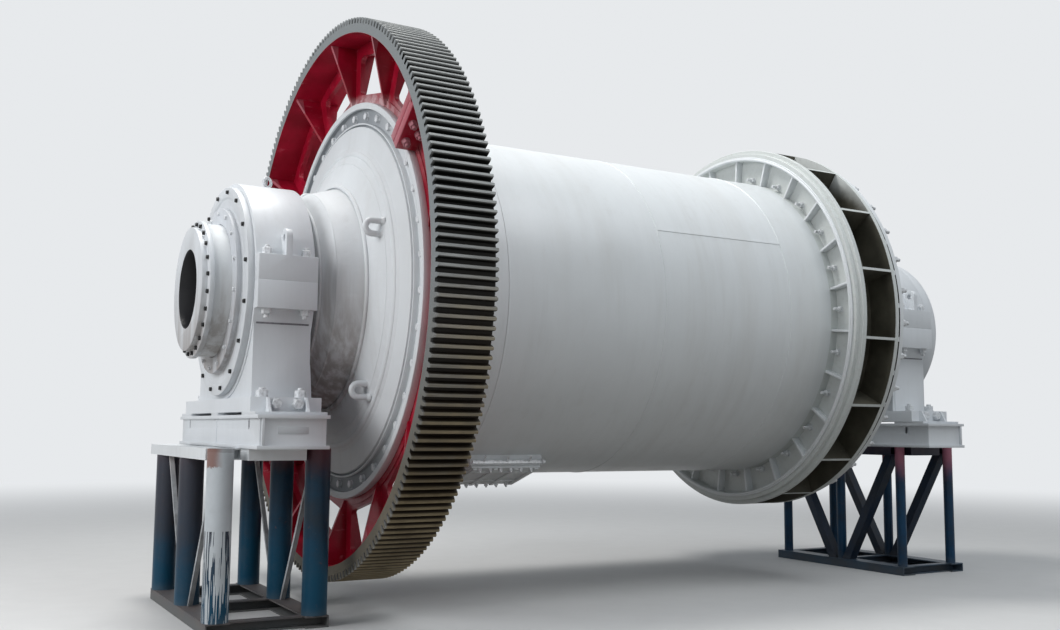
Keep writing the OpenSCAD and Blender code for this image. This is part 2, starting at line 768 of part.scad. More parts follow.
// Bolted outer cover of a bearing on the side s, with a dished face inside its bolting face
module outer_cover(x, s, depth) {
    x0 = x + s*housing_w/2;
    x1 = x0 + s*depth;
    turned([[cover_r, x0], [cover_r, x1], [cover_r - cover_face, x1],
        [cover_r - cover_face - cover_dish, x1 - s*cover_dish], [seal_r - over, x1 - s*cover_dish],
        [seal_r - over, x1], [trunnion_r + cover_gap, x1], [trunnion_r + cover_gap, x0]]);
}

module seal_ring(x, s, depth) {
    x0 = x + s*(housing_w/2 + depth);
    turned([[seal_r, x0], [seal_r, x0 + s*seal_t], [trunnion_r + cover_gap, x0 + s*seal_t],
        [trunnion_r + cover_gap, x0]]);
}

module inner_cover(x, s) {
    x0 = x - s*housing_w/2;
    turned([[cover_r - inner_cover_in, x0], [cover_r - inner_cover_in, x0 - s*inner_cover_t],
        [trunnion_r + cover_gap, x0 - s*inner_cover_t], [trunnion_r + cover_gap, x0]]);
}

feed_stand_x = feed_x - feed_stand_out;
out_stand_x = out_x + out_stand_out;
feed_box_x = feed_x - box_out;
out_box_x = out_x + box_out;
out_cover_t = cover_t + out_cover_extra;

module feed_stand_base() { color(blue) stand_base(feed_stand_x, feed_leg_y); }
module feed_stand_legs() { color(blue) stand_legs(feed_stand_x, feed_leg_y, feed_leg_d); }
module feed_stand_braces() { color(blue) stand_braces(feed_stand_x, feed_leg_y, feed_leg_d, brace_w); }
module feed_stand_top() { color(white) stand_top(feed_stand_x, feed_leg_y, feed_leg_d, feed_box_x); }
module feed_bearing_box() { color(pale) bearing_box(feed_box_x); }
module feed_housing_base() { color(pale) housing_base(feed_x, 1); }
module feed_housing_cap() { color(pale) housing_cap(feed_x); }
module feed_outer_cover() { color(white) outer_cover(feed_x, -1, cover_t); }
module feed_inner_cover() { color(white) inner_cover(feed_x, -1); }
module feed_seal_ring() { color(white) seal_ring(feed_x, -1, cover_t); }
module discharge_stand_base() { color(blue) stand_base(out_stand_x, out_leg_y); }
module discharge_stand_legs() { color(blue) stand_legs(out_stand_x, out_leg_y, out_leg_d); }
module discharge_stand_braces() { color(blue) stand_braces(out_stand_x, out_leg_y, out_leg_d, out_brace_w); }
module discharge_stand_top() { color(blue) stand_top(out_stand_x, out_leg_y, out_leg_d, out_box_x); }
module discharge_bearing_box() { color(pale) bearing_box(out_box_x); }
module discharge_housing_base() { color(pale) housing_base(out_x, -1); }
module discharge_housing_cap() { color(pale) housing_cap(out_x); }
module discharge_outer_cover() { color(white) outer_cover(out_x, 1, out_cover_t); }
module discharge_inner_cover() { color(white) inner_cover(out_x, 1); }
module discharge_seal_ring() { color(white) seal_ring(out_x, 1, out_cover_t); }
module gear_rim_upper() { color(steel) gear_rim(gear_joint_angle - 180); }
module gear_rim_lower() { color(steel) gear_rim(gear_joint_angle); }
module gear_web_upper() { color(red) gear_web(gear_joint_angle - 180); }
module gear_web_lower() { color(red) gear_web(gear_joint_angle); }

feed_stand_base();
feed_stand_legs();
feed_stand_braces();
feed_stand_top();
feed_bearing_box();
feed_housing_base();
feed_housing_cap();
feed_outer_cover();
feed_inner_cover();
feed_seal_ring();
discharge_stand_base();
discharge_stand_legs();
discharge_stand_braces();
discharge_stand_top();
discharge_bearing_box();
discharge_housing_base();
discharge_housing_cap();
discharge_outer_cover();
discharge_inner_cover();
discharge_seal_ring();
feed_trunnion_liner();
feed_head();
gear_rim_upper();
gear_rim_lower();
gear_web_upper();
gear_web_lower();
feed_shell_flange();
shell_course_1();
shell_course_2();
shell_course_3();
shell_course_4();
manhole_frame();
manhole_cover();
discharge_shell_flange();
discharge_cell_drum();
discharge_cell_plates();
discharge_back_ring();
discharge_ring_spacers();
discharge_head();
discharge_trunnion_liner();
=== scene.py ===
"""Looks of the ball mill: finishes, fasteners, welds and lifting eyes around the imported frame."""
import json
import math

import bmesh
import bpy
from mathutils import Matrix, Vector

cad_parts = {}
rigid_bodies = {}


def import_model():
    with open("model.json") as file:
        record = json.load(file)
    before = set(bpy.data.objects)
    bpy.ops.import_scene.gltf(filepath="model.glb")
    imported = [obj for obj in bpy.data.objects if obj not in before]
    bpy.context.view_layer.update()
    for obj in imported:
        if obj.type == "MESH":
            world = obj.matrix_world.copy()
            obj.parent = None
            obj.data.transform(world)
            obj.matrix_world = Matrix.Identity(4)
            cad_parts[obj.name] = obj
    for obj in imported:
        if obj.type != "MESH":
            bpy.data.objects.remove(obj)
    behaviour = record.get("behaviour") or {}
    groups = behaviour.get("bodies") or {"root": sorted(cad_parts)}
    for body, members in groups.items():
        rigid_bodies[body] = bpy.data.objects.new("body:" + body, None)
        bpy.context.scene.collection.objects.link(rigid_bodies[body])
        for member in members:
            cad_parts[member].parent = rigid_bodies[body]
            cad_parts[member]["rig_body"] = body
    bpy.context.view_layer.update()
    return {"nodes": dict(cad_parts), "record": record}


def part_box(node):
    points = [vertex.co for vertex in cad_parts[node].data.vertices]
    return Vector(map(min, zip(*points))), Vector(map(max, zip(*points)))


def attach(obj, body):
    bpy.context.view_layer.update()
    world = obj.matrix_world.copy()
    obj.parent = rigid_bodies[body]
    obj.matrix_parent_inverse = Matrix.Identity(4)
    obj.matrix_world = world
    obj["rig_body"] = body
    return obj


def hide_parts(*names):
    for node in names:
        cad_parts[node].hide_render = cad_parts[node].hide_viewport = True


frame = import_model()


# Places and sizes of the frame, in metres


def middle(node):
    """Middle of a node's box."""
    low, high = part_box(node)
    return (low + high) / 2


AXIS = middle("shell_course_3").z
FEED = middle("feed_housing_cap").x
OUT = middle("discharge_housing_cap").x
SHELL_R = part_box("shell_course_3")[1].y
SHELL_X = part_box("shell_course_1")[0].x
SHELL_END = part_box("shell_course_4")[1].x
RIM_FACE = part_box("gear_rim_upper")[0].x
RIM_IN = 2.5845
WEB_X = middle("gear_rim_upper").x + 0.059
HEAD_FACE = WEB_X - 0.105
CHANNEL_FLOOR = HEAD_FACE + 0.034
CHANNEL_DEEPER = 0.022
CELL_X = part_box("discharge_cell_plates")[0].x
PLATE_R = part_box("discharge_back_ring")[1].y
BACK_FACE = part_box("discharge_back_ring")[1].x
DISC_BACK = BACK_FACE + 0.05 + 0.055
BOX_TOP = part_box("feed_bearing_box")[1].z

# The discharge flange: a rim ring, pockets behind it, and two stepped rings round the pockets
FLANGE_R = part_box("discharge_shell_flange")[1].y
RIM_FRONT = SHELL_END - 0.020
POCKET_R = 2.005
POCKET_FLOOR = SHELL_END + 0.095
FIRST_RING_R = 2.095
SECOND_RING_R = 2.140
RING_STEP_X = (SHELL_END + CELL_X) / 2
DRUM_R = SHELL_R + 0.058
DRUM_IN = SHELL_R - 0.045
DRUM_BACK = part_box("discharge_cell_drum")[1].x

BACK = Matrix.Rotation(math.pi, 4, "X")


def round_shaft(radius, angle):
    """Direction away from the shaft at an angle, and the place at that radius over X zero."""
    a = math.radians(angle)
    out = Vector((0, math.cos(a), math.sin(a)))
    return out, Vector((0, 0, AXIS)) + out * radius


def on_shaft(x, radius, angle, turn=0.0):
    """Matrix of a place round the shaft: +Z along the shaft to +X, +X pointing away from it."""
    out, place = round_shaft(radius, angle)
    along = Vector((1, 0, 0))
    spot = Matrix((out, along.cross(out), along)).transposed().to_4x4()
    spot.translation = place + along * x
    return spot @ Matrix.Rotation(math.radians(turn), 4, "Z")


def off_shell(x, radius, angle):
    """Matrix of a place round the shaft with +Z pointing away from it and +X along it."""
    out, place = round_shaft(radius, angle)
    along = Vector((1, 0, 0))
    spot = Matrix((along, out.cross(along), out)).transposed().to_4x4()
    spot.translation = place + along * x
    return spot


def facing(spot, direction, turn=0.0):
    """Matrix of a place at spot with +Z pointing in a direction."""
    turned = Vector(direction).to_track_quat("Z", "X").to_matrix().to_4x4()
    turned.translation = Vector(spot)
    return turned @ Matrix.Rotation(math.radians(turn), 4, "Z")


# Shader expressions


class Value:
    """A socket of a node tree; arithmetic on it adds Math nodes."""

    def __init__(self, nodes, socket):
        self.nodes, self.socket = nodes, socket

    def math(self, operation, *terms):
        return self.nodes.add("ShaderNodeMath", {"operation": operation}, dict(enumerate(terms)))

    def __add__(self, other): return self.math("ADD", self, other)
    def __radd__(self, other): return self.math("ADD", other, self)
    def __sub__(self, other): return self.math("SUBTRACT", self, other)
    def __rsub__(self, other): return self.math("SUBTRACT", other, self)
    def __mul__(self, other): return self.math("MULTIPLY", self, other)
    def __rmul__(self, other): return self.math("MULTIPLY", other, self)
    def __truediv__(self, other): return self.math("DIVIDE", self, other)
    def __gt__(self, other): return self.math("GREATER_THAN", self, other)
    def __lt__(self, other): return self.math("LESS_THAN", self, other)
    def __pow__(self, other): return self.math("POWER", self, other)

    def at_most(self, other): return self.math("MINIMUM", self, other)
    def at_least(self, other): return self.math("MAXIMUM", self, other)
    def size(self): return self.math("ABSOLUTE", self)

    def ramp(self, low, high):
        """0 below low, 1 above high and smooth between them."""
        settings = {"interpolation_type": "SMOOTHSTEP"}
        sockets = {"Value": self, "From Min": low, "From Max": high}
        return self.nodes.add("ShaderNodeMapRange", settings, sockets)


class Nodes:
    """A tree of shader nodes."""

    def __init__(self, tree):
        self.tree = tree

    def add(self, kind, settings=None, sockets=None, output=0):
        """Adds a node with its settings and its sockets' values or links, and gives one of its outputs."""
        node = self.tree.nodes.new(kind)
        for name, value in (settings or {}).items():
            setattr(node, name, value)
        for name, value in (sockets or {}).items():
            self.put(node.inputs[name], value)
        return Value(self, node.outputs[output])

    def put(self, socket, value):
        """Links a socket to a Value, or sets it to a number or colour."""
        if isinstance(value, Value):
            self.tree.links.new(value.socket, socket)
        else:
            socket.default_value = value

    def split(self, vector):
        """The X, Y and Z of a vector."""
        first = self.add("ShaderNodeSeparateXYZ", None, {0: vector})
        return [Value(self, part) for part in first.socket.node.outputs]

    def seen_directly(self):
        """1 for rays from the camera and for what gloss or glass shows, else 0."""
        rays = self.add("ShaderNodeLightPath").socket.node.outputs
        camera, gloss, glass = (Value(self, rays[name])
                                for name in ("Is Camera Ray", "Is Glossy Ray", "Is Transmission Ray"))
        return camera.at_least(gloss).at_least(glass)


class Finish(Nodes):
    """One material, built round a Principled shader."""

    def __init__(self, name, **constants):
        self.material = bpy.data.materials.new(name)
        self.material.use_nodes = True
        super().__init__(self.material.node_tree)
        self.shader = self.tree.nodes["Principled BSDF"]
        self.place = self.add("ShaderNodeTexCoord", output="Object")
        for socket, value in constants.items():
            self.shader.inputs[socket.replace("_", " ")].default_value = value

    def set(self, **links):
        """Links or sets inputs of the shader."""
        for socket, value in links.items():
            self.put(self.shader.inputs[socket.replace("_", " ")], value)

    def colour(self, mask, low, high):
        """Mixes two colours, or colour sockets, by a mask."""
        settings = {"data_type": "RGBA"}
        return self.add("ShaderNodeMix", settings, {0: mask, 6: low, 7: high}, 2)

    def parts(self, shift=(0, 0, 0)):
        """The place's X, Y and Z after a shift."""
        return self.split(self.add("ShaderNodeVectorMath", {"operation": "ADD"}, {0: self.place, 1: shift}))

    def from_axis(self):
        """The place's X, Y and Z with the shaft's axis at Z zero."""
        return self.parts((0, 0, -AXIS))

    def about_shaft(self):
        """Place along the shaft and radius from it."""
        x, y, z = self.from_axis()
        return x, (y * y + z * z) ** 0.5

    def noise(self, scale, detail=4.0, rough=0.55, stretch=(1, 1, 1), where=None):
        """Noise over the place, or over another vector, stretched by a scale along each axis."""
        spread = self.add("ShaderNodeMapping", None, {"Vector": where or self.place, "Scale": stretch})
        sockets = {"Vector": spread, "Scale": scale, "Detail": detail, "Roughness": rough}
        return self.add("ShaderNodeTexNoise", None, sockets)

    def vector(self, x, y, z):
        return self.add("ShaderNodeCombineXYZ", None, {0: x, 1: y, 2: z})

    def bump(self, height, distance):
        """Bump of the surface, its full height in metres."""
        self.set(Normal=self.add("ShaderNodeBump", None, {"Height": height, "Distance": distance}))


def rgb(red, green, blue):
    return (red, green, blue, 1.0)


def darker(colour, share):
    """A share of a colour."""
    return rgb(*(share * part for part in colour[:3]))


# Finishes


def zone(x, radius, x_low, x_high, r_low, r_high):
    """1 between two places along the shaft and two radii, else 0."""
    return (x > x_low) * (x < x_high) * (radius > r_low) * (radius < r_high)


def white_paint(name, colour=rgb(0.74, 0.77, 0.79), dust=rgb(0.46, 0.44, 0.40), amount=1.0, dark=None,
                shade=rgb(0.012, 0.011, 0.010), rough=0.36, coat=0.16, near_side_unshaded=0.0, low_stain_and_shade=0.0):
    """Satin white paint with uneven coats, settled dust and water runs.

    dark is a zone of painted shade in the colour shade, for a recess, hollow or gap, and the near side's
    share keeps its near side nearer the paint's colour, as painted light.
    Inside the stain radius the lower part turns brown: partly rusty stains, partly painted shade.
    """
    paint = Finish(name, Coat_Roughness=0.3)
    x, radius = paint.about_shaft()
    _, y, z = paint.from_axis()
    cloud = paint.noise(0.55, 6.0, 0.6)
    round_drum = paint.vector(x, y / radius * 0.16, z / radius * 0.16)
    brush = paint.noise(9.0, 4.0, 0.6, where=round_drum)
    wide = paint.noise(2.2, 5.0, 0.6, where=round_drum)
    runs = paint.noise(5.0, 5.0, 0.6, (2.2, 2.2, 0.12))
    fine = paint.noise(60.0, 3.0, 0.6)
    tone = paint.colour(cloud.ramp(0.35, 0.7), colour, darker(colour, 0.93))
    tone = paint.colour(brush.ramp(0.45, 0.7) * 0.22, tone, darker(colour, 0.84))
    grime = (runs.ramp(0.5, 0.78) * 0.14 + wide.ramp(0.48, 0.75) * 0.20 + cloud.ramp(0.5, 0.8) * 0.12
             + fine.ramp(0.55, 0.75) * 0.05) * amount
    tone = paint.colour(grime.at_most(0.8), tone, dust)
    # Brown darkening low down inside the stain radius: partly rusty stains, partly painted shade of the
    # lower side.
    if low_stain_and_shade:
        under = (1.0 - radius.ramp(low_stain_and_shade, low_stain_and_shade + 0.12)) * (1.0 - (z + wide).ramp(-0.25, 0.85))
        tone = paint.colour(under * (0.25 + runs.ramp(0.35, 0.6) * 0.4), tone, rgb(0.17, 0.125, 0.10))
    # Painted shade in the dark zone, lighter on the near side as painted light.
    if dark:
        near = 1.0 - y.ramp(-1.5, -0.4)
        tone = paint.colour(zone(x, radius, *dark) * (1.0 - near_side_unshaded * near), tone, shade)
    paint.set(Base_Color=tone, Roughness=rough + cloud * 0.16 + grime * 0.3, Coat_Weight=coat - grime * coat)
    paint.bump(brush * 0.35 + fine * 0.12 + paint.noise(9.0, 4.0) * 0.5, 0.0014)
    return paint.material


def red_tone(paint):
    """Gloss red with brush marks and paler dry patches: the colour, the patches and the brush marks."""
    patch = paint.noise(2.2, 5.0, 0.6)
    brush = paint.noise(5.0, 4.0, 0.6, (1.0, 1.0, 4.0))
    pale_marks = paint.noise(7.0, 6.0, 0.7)
    tone = paint.colour(patch.ramp(0.35, 0.7), rgb(0.24, 0.002, 0.014), rgb(0.40, 0.006, 0.030))
    tone = paint.colour(brush.ramp(0.60, 0.80) * 0.40, tone, rgb(0.58, 0.14, 0.18))
    return paint.colour(pale_marks.ramp(0.62, 0.74) * 0.45, tone, rgb(0.62, 0.26, 0.30)), patch, brush


def red_paint():
    """Gloss red with a painted highlight on the front edges, and white spray at the top next to the white
    flange.
    """
    paint = Finish("red_gear_paint", Coat_Roughness=0.2, Specular_IOR_Level=0.22)
    x, radius = paint.about_shaft()
    z = paint.from_axis()[2]
    tone, patch, brush = red_tone(paint)
    spray = (1.0 - radius.ramp(1.98, 2.10)) * paint.noise(3.5, 5.0, 0.65).ramp(0.40, 0.62) * (x < WEB_X)
    spray = spray * (0.12 + z.ramp(0.9, 1.7) * 0.88)
    tone = paint.colour(spray * 0.75, tone, rgb(0.72, 0.55, 0.56))
    # Painted highlight: pale pink on the parts furthest forward, the joint flanges' front edges.
    tone = paint.colour((x < WEB_X - 0.224) * 0.35, tone, rgb(0.48, 0.22, 0.26))
    paint.set(Base_Color=tone, Roughness=0.30 + patch * 0.2 + spray * 0.3, Coat_Weight=0.18 - spray * 0.16)
    paint.bump(brush * 0.6 + patch * 0.4, 0.003)
    return paint.material


def gear_steel():
    """Cut teeth under old oil: pale tops and end faces, near black flanks and gaps that are old grease and
    painted shade, a painted highlight at the tooth ends, brown grease low down, red inside.
    """
    steel = Finish("gear_teeth_steel", Specular_IOR_Level=0.22)
    x, radius = steel.about_shaft()
    z = steel.from_axis()[2]
    along = steel.split(steel.add("ShaderNodeTexCoord", output="Normal"))[0]
    end_face = along.size() > 0.7
    patch = steel.noise(1.6, 5.0, 0.6)
    lines = steel.noise(30.0, 4.0, 0.6, (0.15, 4.0, 4.0))
    low = (z * -0.42 + patch).ramp(0.25, 1.25)
    clean = steel.colour(lines.ramp(0.3, 0.7), rgb(0.25, 0.26, 0.26), rgb(0.40, 0.41, 0.40))
    greasy = steel.colour(patch.ramp(0.4, 0.65), rgb(0.15, 0.115, 0.065), rgb(0.29, 0.235, 0.145))
    # Near black flanks and gaps: old grease, and painted shade between the teeth.
    gap_grease_and_shade = steel.colour(low, rgb(0.010, 0.010, 0.009), rgb(0.020, 0.013, 0.007))
    end = steel.colour(low, rgb(0.19, 0.21, 0.22), rgb(0.12, 0.115, 0.10))
    flank = (1.0 - radius.ramp(2.706, 2.7225)) * (1.0 - end_face) * (radius > RIM_IN)
    # Painted highlight at the tooth ends next to the rim's front face, with some wear.
    pale_marks = (1.0 - (x - RIM_FACE).ramp(0.004, 0.030)) * (radius > 2.60) * (1.0 - end_face)
    inside = radius < RIM_IN
    tone = steel.colour(flank, steel.colour(low, clean, greasy), gap_grease_and_shade)
    tone = steel.colour(end_face * 0.75, tone, end)
    tone = steel.colour(pale_marks * patch.ramp(0.35, 0.6) * 0.7, tone, rgb(0.42, 0.43, 0.43))
    tone = steel.colour(inside, tone, red_tone(steel)[0])
    steel.set(Base_Color=tone, Roughness=0.45 + patch * 0.2 - inside * 0.1,
              Metallic=0.25 - (inside + flank).at_most(1.0) * 0.25)
    steel.bump(lines * 0.5 + patch * 0.5, 0.002)
    return steel.material


def stand_paint(name, colour, top, top_from, low=None, runs=None, dusty=0.26):
    """Worn paint over primer, sprayed from the height top_from up and dusty at the foot.

    runs is the place of a leg that white paint ran down.
    """
    paint = Finish(name, Specular_IOR_Level=0.2)
    z = paint.parts()[2]
    patch = paint.noise(2.6, 6.0, 0.65)
    flake = paint.noise(14.0, 5.0, 0.7)
    fine = paint.noise(70.0, 3.0, 0.6)
    tone = paint.colour(patch.ramp(0.35, 0.7), colour, darker(colour, 0.45))
    if low:
        tone = paint.colour(1.0 - (z + patch * 0.5).ramp(0.55, 1.25), tone, low)
    sprayed = (z + patch * 0.30).ramp(top_from, top_from + 0.30)
    tone = paint.colour(sprayed * 0.85, tone, top)
    tone = paint.colour(flake.ramp(0.64, 0.74) * 0.5, tone, rgb(0.12, 0.055, 0.04))
    settled = patch.ramp(0.4, 0.8) * 0.08 + (1.0 - z.ramp(0.03, 0.20)) * dusty
    dust = (settled + fine.ramp(0.6, 0.75) * 0.06).at_most(0.7)
    tone = paint.colour(dust, tone, rgb(0.24, 0.24, 0.23))
    if runs:
        tone = run_leg(paint, tone, patch, fine, *runs)
    paint.set(Base_Color=tone, Roughness=0.40 + dust * 0.5)
    paint.bump(flake * 0.5 + patch * 0.5, 0.003)
    return paint.material


RUNS_FROM = 0.84
RUST_FROM = 1.47
SOOT_FROM = 1.52


def run_leg(paint, tone, patch, fine, leg_x, leg_y):
    """Grey outer legs; on the near one white paint that ran down in streaks, with rust at its upper edge."""
    x, y, z = paint.parts()
    outer = x < leg_x + 0.2
    here = outer * (y < leg_y + 0.2)
    tone = paint.colour(outer * (z + patch).ramp(0.5, 1.5) * 0.8, tone, rgb(0.050, 0.050, 0.062))
    across = paint.vector(x, y, z * 0.03)
    streak = paint.noise(95.0, 1.0, 0.5, where=across)
    wide = paint.noise(30.0, 1.0, 0.5, where=across)
    reach = streak + wide * 0.7 - 0.35
    coat = (z > RUNS_FROM).at_least(reach > 0.45 + (RUNS_FROM - z) * 0.16)
    white = paint.colour(patch.ramp(0.4, 0.7) * 0.5, rgb(0.56, 0.60, 0.63), rgb(0.42, 0.45, 0.47))
    side = 1.0 - (x + patch * 0.10).ramp(leg_x - 0.02, leg_x + 0.06)
    rust = side * (z + fine * 0.1 + patch * 0.1 > RUST_FROM)
    tone = paint.colour(here * coat, tone, white)
    tone = paint.colour(here * (z + patch * 0.06 > SOOT_FROM) * 0.45, tone, rgb(0.22, 0.21, 0.22))
    return paint.colour(here * rust * 0.85, tone, rgb(0.20, 0.085, 0.06))


def cell_coats(coat, dark_from, dark_to):
    """Patchy primer between two shades, and the white of rings, with the noises that they are made of."""
    patch = coat.noise(1.7, 6.0, 0.6)
    fine = coat.noise(22.0, 4.0, 0.6)
    primed = coat.colour(patch.ramp(0.35, 0.7), dark_from, dark_to)
    white = coat.colour(fine.ramp(0.5, 0.8) * 0.3, rgb(0.60, 0.63, 0.62), rgb(0.38, 0.38, 0.34))
    return primed, white, patch, fine


def primer():
    """Matt primer, dark and greasy inside the cells with painted shade going near black deep in them, and
    white paint on the rings and plate edges.
    """
    coat = Finish("grey_green_primer")
    x, radius = coat.about_shaft()
    tone, white, patch, fine = cell_coats(coat, rgb(0.040, 0.038, 0.026), rgb(0.095, 0.088, 0.066))
    # Painted shade: near black deep in the cells.
    deep_shade = (1.0 - radius.ramp(1.90, PLATE_R + 0.02)) * (1.0 - x.ramp(CELL_X + 0.02, CELL_X + 0.42))
    rings = (radius > SHELL_R - 0.01) * (x < CELL_X + 0.001)
    tone = coat.colour(fine.ramp(0.55, 0.8) * 0.35, tone, rgb(0.22, 0.19, 0.14))
    tone = coat.colour(deep_shade * 0.92, tone, rgb(0.007, 0.007, 0.006))
    tone = coat.colour(rings.at_least(radius > PLATE_R - 0.003), tone, white)
    coat.set(Base_Color=tone, Roughness=0.6 + patch * 0.2 - rings * 0.2)
    coat.bump(fine * 0.5 + patch * 0.5, 0.002)
    return coat.material


def ring_paint():
    """The back ring of the cells: white at the rim, white on top and dark primer lower down as painted light
    and shade, and near black painted shade in the gap.
    """
    coat = Finish("white_ring_paint")
    x, radius = coat.about_shaft()
    z = coat.from_axis()[2]
    dark, white, patch, fine = cell_coats(coat, rgb(0.045, 0.042, 0.030), rgb(0.105, 0.098, 0.072))
    # Painted light and shade: white on top, dark primer lower down, split by height.
    low = 1.0 - (z + patch * 0.5 + radius * 2.0).ramp(5.45, 6.15)
    tone = coat.colour(low, white, dark)
    # Painted shade: near black on the face towards the gap.
    tone = coat.colour(x > BACK_FACE - 0.012, tone, rgb(0.006, 0.006, 0.005))
    tone = coat.colour(radius > PLATE_R - 0.006, tone, white)
    coat.set(Base_Color=tone, Roughness=0.5 + patch * 0.2)
    coat.bump(fine * 0.5 + patch * 0.5, 0.002)
    return coat.material


def bolt_finish(name, colour, metallic=0.6, rough=0.4):
    """Fasteners and seams, plated or painted, with specks of dirt."""
    metal = Finish(name, Metallic=metallic)
    fine = metal.noise(35.0, 3.0, 0.6)
    tone = metal.colour(fine.ramp(0.4, 0.7), colour, darker(colour, 0.7))
    metal.set(Base_Color=tone, Roughness=rough + fine * 0.2)
    return metal.material


LEG_R = 0.11
leg_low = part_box("feed_stand_legs")[0]
NEAR_LEG = (leg_low.x + LEG_R, leg_low.y + LEG_R)
ALL = (-9.0, 9.0)
# Zones painted with shade: the liner's bore, the shell's inside, the head's bolt channel and the gap behind
# the cells' back ring.
OPENING = (*ALL, 0.0, 0.3685)
SHELL_INSIDE = (*ALL, 0.0, 1.70)
BOLT_CHANNEL = (HEAD_FACE + 0.02, HEAD_FACE + 0.5, 1.60, 1.90)
CELL_GAP = (BACK_FACE, BACK_FACE + 0.052, 0.0, PLATE_R - 0.004)
BLUE = rgb(0.006, 0.045, 0.095)
finishes = {
    "white_mill_paint": white_paint("white_mill_paint"),
    "white_housing_paint": white_paint(
        "white_housing_paint", rgb(0.70, 0.73, 0.76), rgb(0.40, 0.40, 0.38), 0.6),
    "red_gear_paint": red_paint(),
    "gear_teeth_steel": gear_steel(),
    "blue_stand_paint": stand_paint("blue_stand_paint", BLUE, rgb(0.16, 0.05, 0.055), 1.30),
    "grey_green_primer": primer(),
}
# The liner, shell, feed head and discharge head finishes below carry painted shade in their dark zones.
node_finishes = {
    "trunnion_liner": white_paint(
        "white_hollow_paint", rgb(0.66, 0.69, 0.72), rgb(0.33, 0.32, 0.30), 1.3, OPENING,
        rgb(0.004, 0.004, 0.006), low_stain_and_shade=0.60),
    "seal_ring": white_paint(
        "white_seal_paint", rgb(0.62, 0.65, 0.69), rgb(0.30, 0.29, 0.28), 1.6, low_stain_and_shade=0.9),
    "outer_cover": white_paint(
        "white_cover_paint", rgb(0.68, 0.71, 0.74), rgb(0.36, 0.35, 0.33), low_stain_and_shade=0.72),
    "shell_course": white_paint(
        "white_shell_paint", rgb(0.72, 0.75, 0.765), amount=0.75, dark=SHELL_INSIDE, coat=0.35),
    "feed_head": white_paint(
        "white_head_paint", dark=BOLT_CHANNEL, shade=rgb(0.27, 0.29, 0.31), rough=0.52, coat=0.03,
        near_side_unshaded=0.9, low_stain_and_shade=1.08),
    "back_ring": ring_paint(),
    "discharge_head": white_paint("white_disc_paint", dark=CELL_GAP, shade=rgb(0.020, 0.018, 0.014)),
    "feed_stand_legs": stand_paint(
        "leg_paint", rgb(0.010, 0.040, 0.075), rgb(0.10, 0.035, 0.040), 1.36, rgb(0.001, 0.056, 0.110),
        NEAR_LEG),
    "feed_stand_base": stand_paint(
        "base_paint", rgb(0.020, 0.032, 0.048), rgb(0.11, 0.045, 0.040), 0.13, dusty=0.55),
    # The feed braces' pale grey stands partly for light caught on the bars' edges: a painted highlight.
    "feed_stand_braces": stand_paint(
        "pale_brace_paint", rgb(0.50, 0.52, 0.54), rgb(0.55, 0.50, 0.50), 1.30),
    "discharge_stand_legs": stand_paint(
        "discharge_leg_paint", rgb(0.004, 0.045, 0.105), rgb(0.32, 0.11, 0.15), 1.24),
    "discharge_stand_braces": stand_paint(
        "dark_brace_paint", rgb(0.002, 0.016, 0.042), rgb(0.02, 0.016, 0.03), 1.4),
    # The top beam's blue is darker than the legs' as painted shade under the bearing box.
    "discharge_stand_top": stand_paint(
        "shaded_beam_paint", rgb(0.002, 0.012, 0.030), rgb(0.05, 0.03, 0.04), 1.45),
}
painted = bolt_finish("white_painted_bolt", rgb(0.74, 0.76, 0.78), 0.0, 0.4)
dusty_red = bolt_finish("dusty_red_bolt", rgb(0.42, 0.17, 0.20), 0.0, 0.45)
# The bright finish's pale colour on the manhole's bolts and rods stands partly for their gloss highlights: a
# painted highlight.
bright = bolt_finish("bright_bolt", rgb(0.82, 0.84, 0.86), 0.35, 0.28)
darkened = bolt_finish("black_bolt", rgb(0.03, 0.03, 0.03), 0.5, 0.45)
# A mid grey for the pedestals' split lines: the seam and painted shade in its gap.
seam_shade = bolt_finish("grey_seam_shade", rgb(0.20, 0.20, 0.22), 0.0, 0.5)
plate_metal = Finish("dull_plate", Base_Color=rgb(0.50, 0.52, 0.54), Metallic=0.2, Roughness=0.42).material

for part in frame["record"]["subparts"]:
    name, slot = part["node"], part["material_slot"]
    finish = next((made for word, made in node_finishes.items() if word in name), finishes[slot])
    frame["nodes"][name].data.materials.clear()
    frame["nodes"][name].data.materials.append(finish)


# Making pieces

# How deep a weld, ring or gusset is set into the surface that it stands on
SUNK = 0.004


def as_mesh(bm, name):
    """A mesh out of a bmesh, which is freed."""
    mesh = bpy.data.meshes.new(name)
    bm.to_mesh(mesh)
    bm.free()
    return mesh


def shown(name, data):
    """An object in the scene that shows a mesh, a lamp or a camera."""
    made = bpy.data.objects.new(name, data)
    bpy.context.scene.collection.objects.link(made)
    return made


def piece(name, bm, body, finish, smooth=35):
    """Turns a bmesh into a finished piece that rides on a body."""
    mesh = as_mesh(bm, name)
    mesh.materials.append(finish)
    mesh.shade_smooth()
    mesh.set_sharp_from_angle(angle=math.radians(smooth))
    made = shown(name, mesh)
    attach(made, body)
    return made


def joined(*parts):
    """One bmesh out of (bmesh, matrix) pairs."""
    bm = bmesh.new()
    for part, spot in parts:
        put_copies(bm, part, [spot])
    return bm


def repeated(template, spots):
    """A bmesh that holds a template bmesh at each spot."""
    bm = bmesh.new()
    put_copies(bm, template, spots)
    return bm


def put_copies(bm, template, spots):
    """Adds a copy of a template bmesh, which is freed, at each spot."""
    mesh = as_mesh(template, "template")
    for spot in spots:
        first = len(bm.verts)
        bm.from_mesh(mesh)
        bm.verts.ensure_lookup_table()
        bmesh.ops.transform(bm, matrix=spot, verts=bm.verts[first:])
    bpy.data.meshes.remove(mesh)


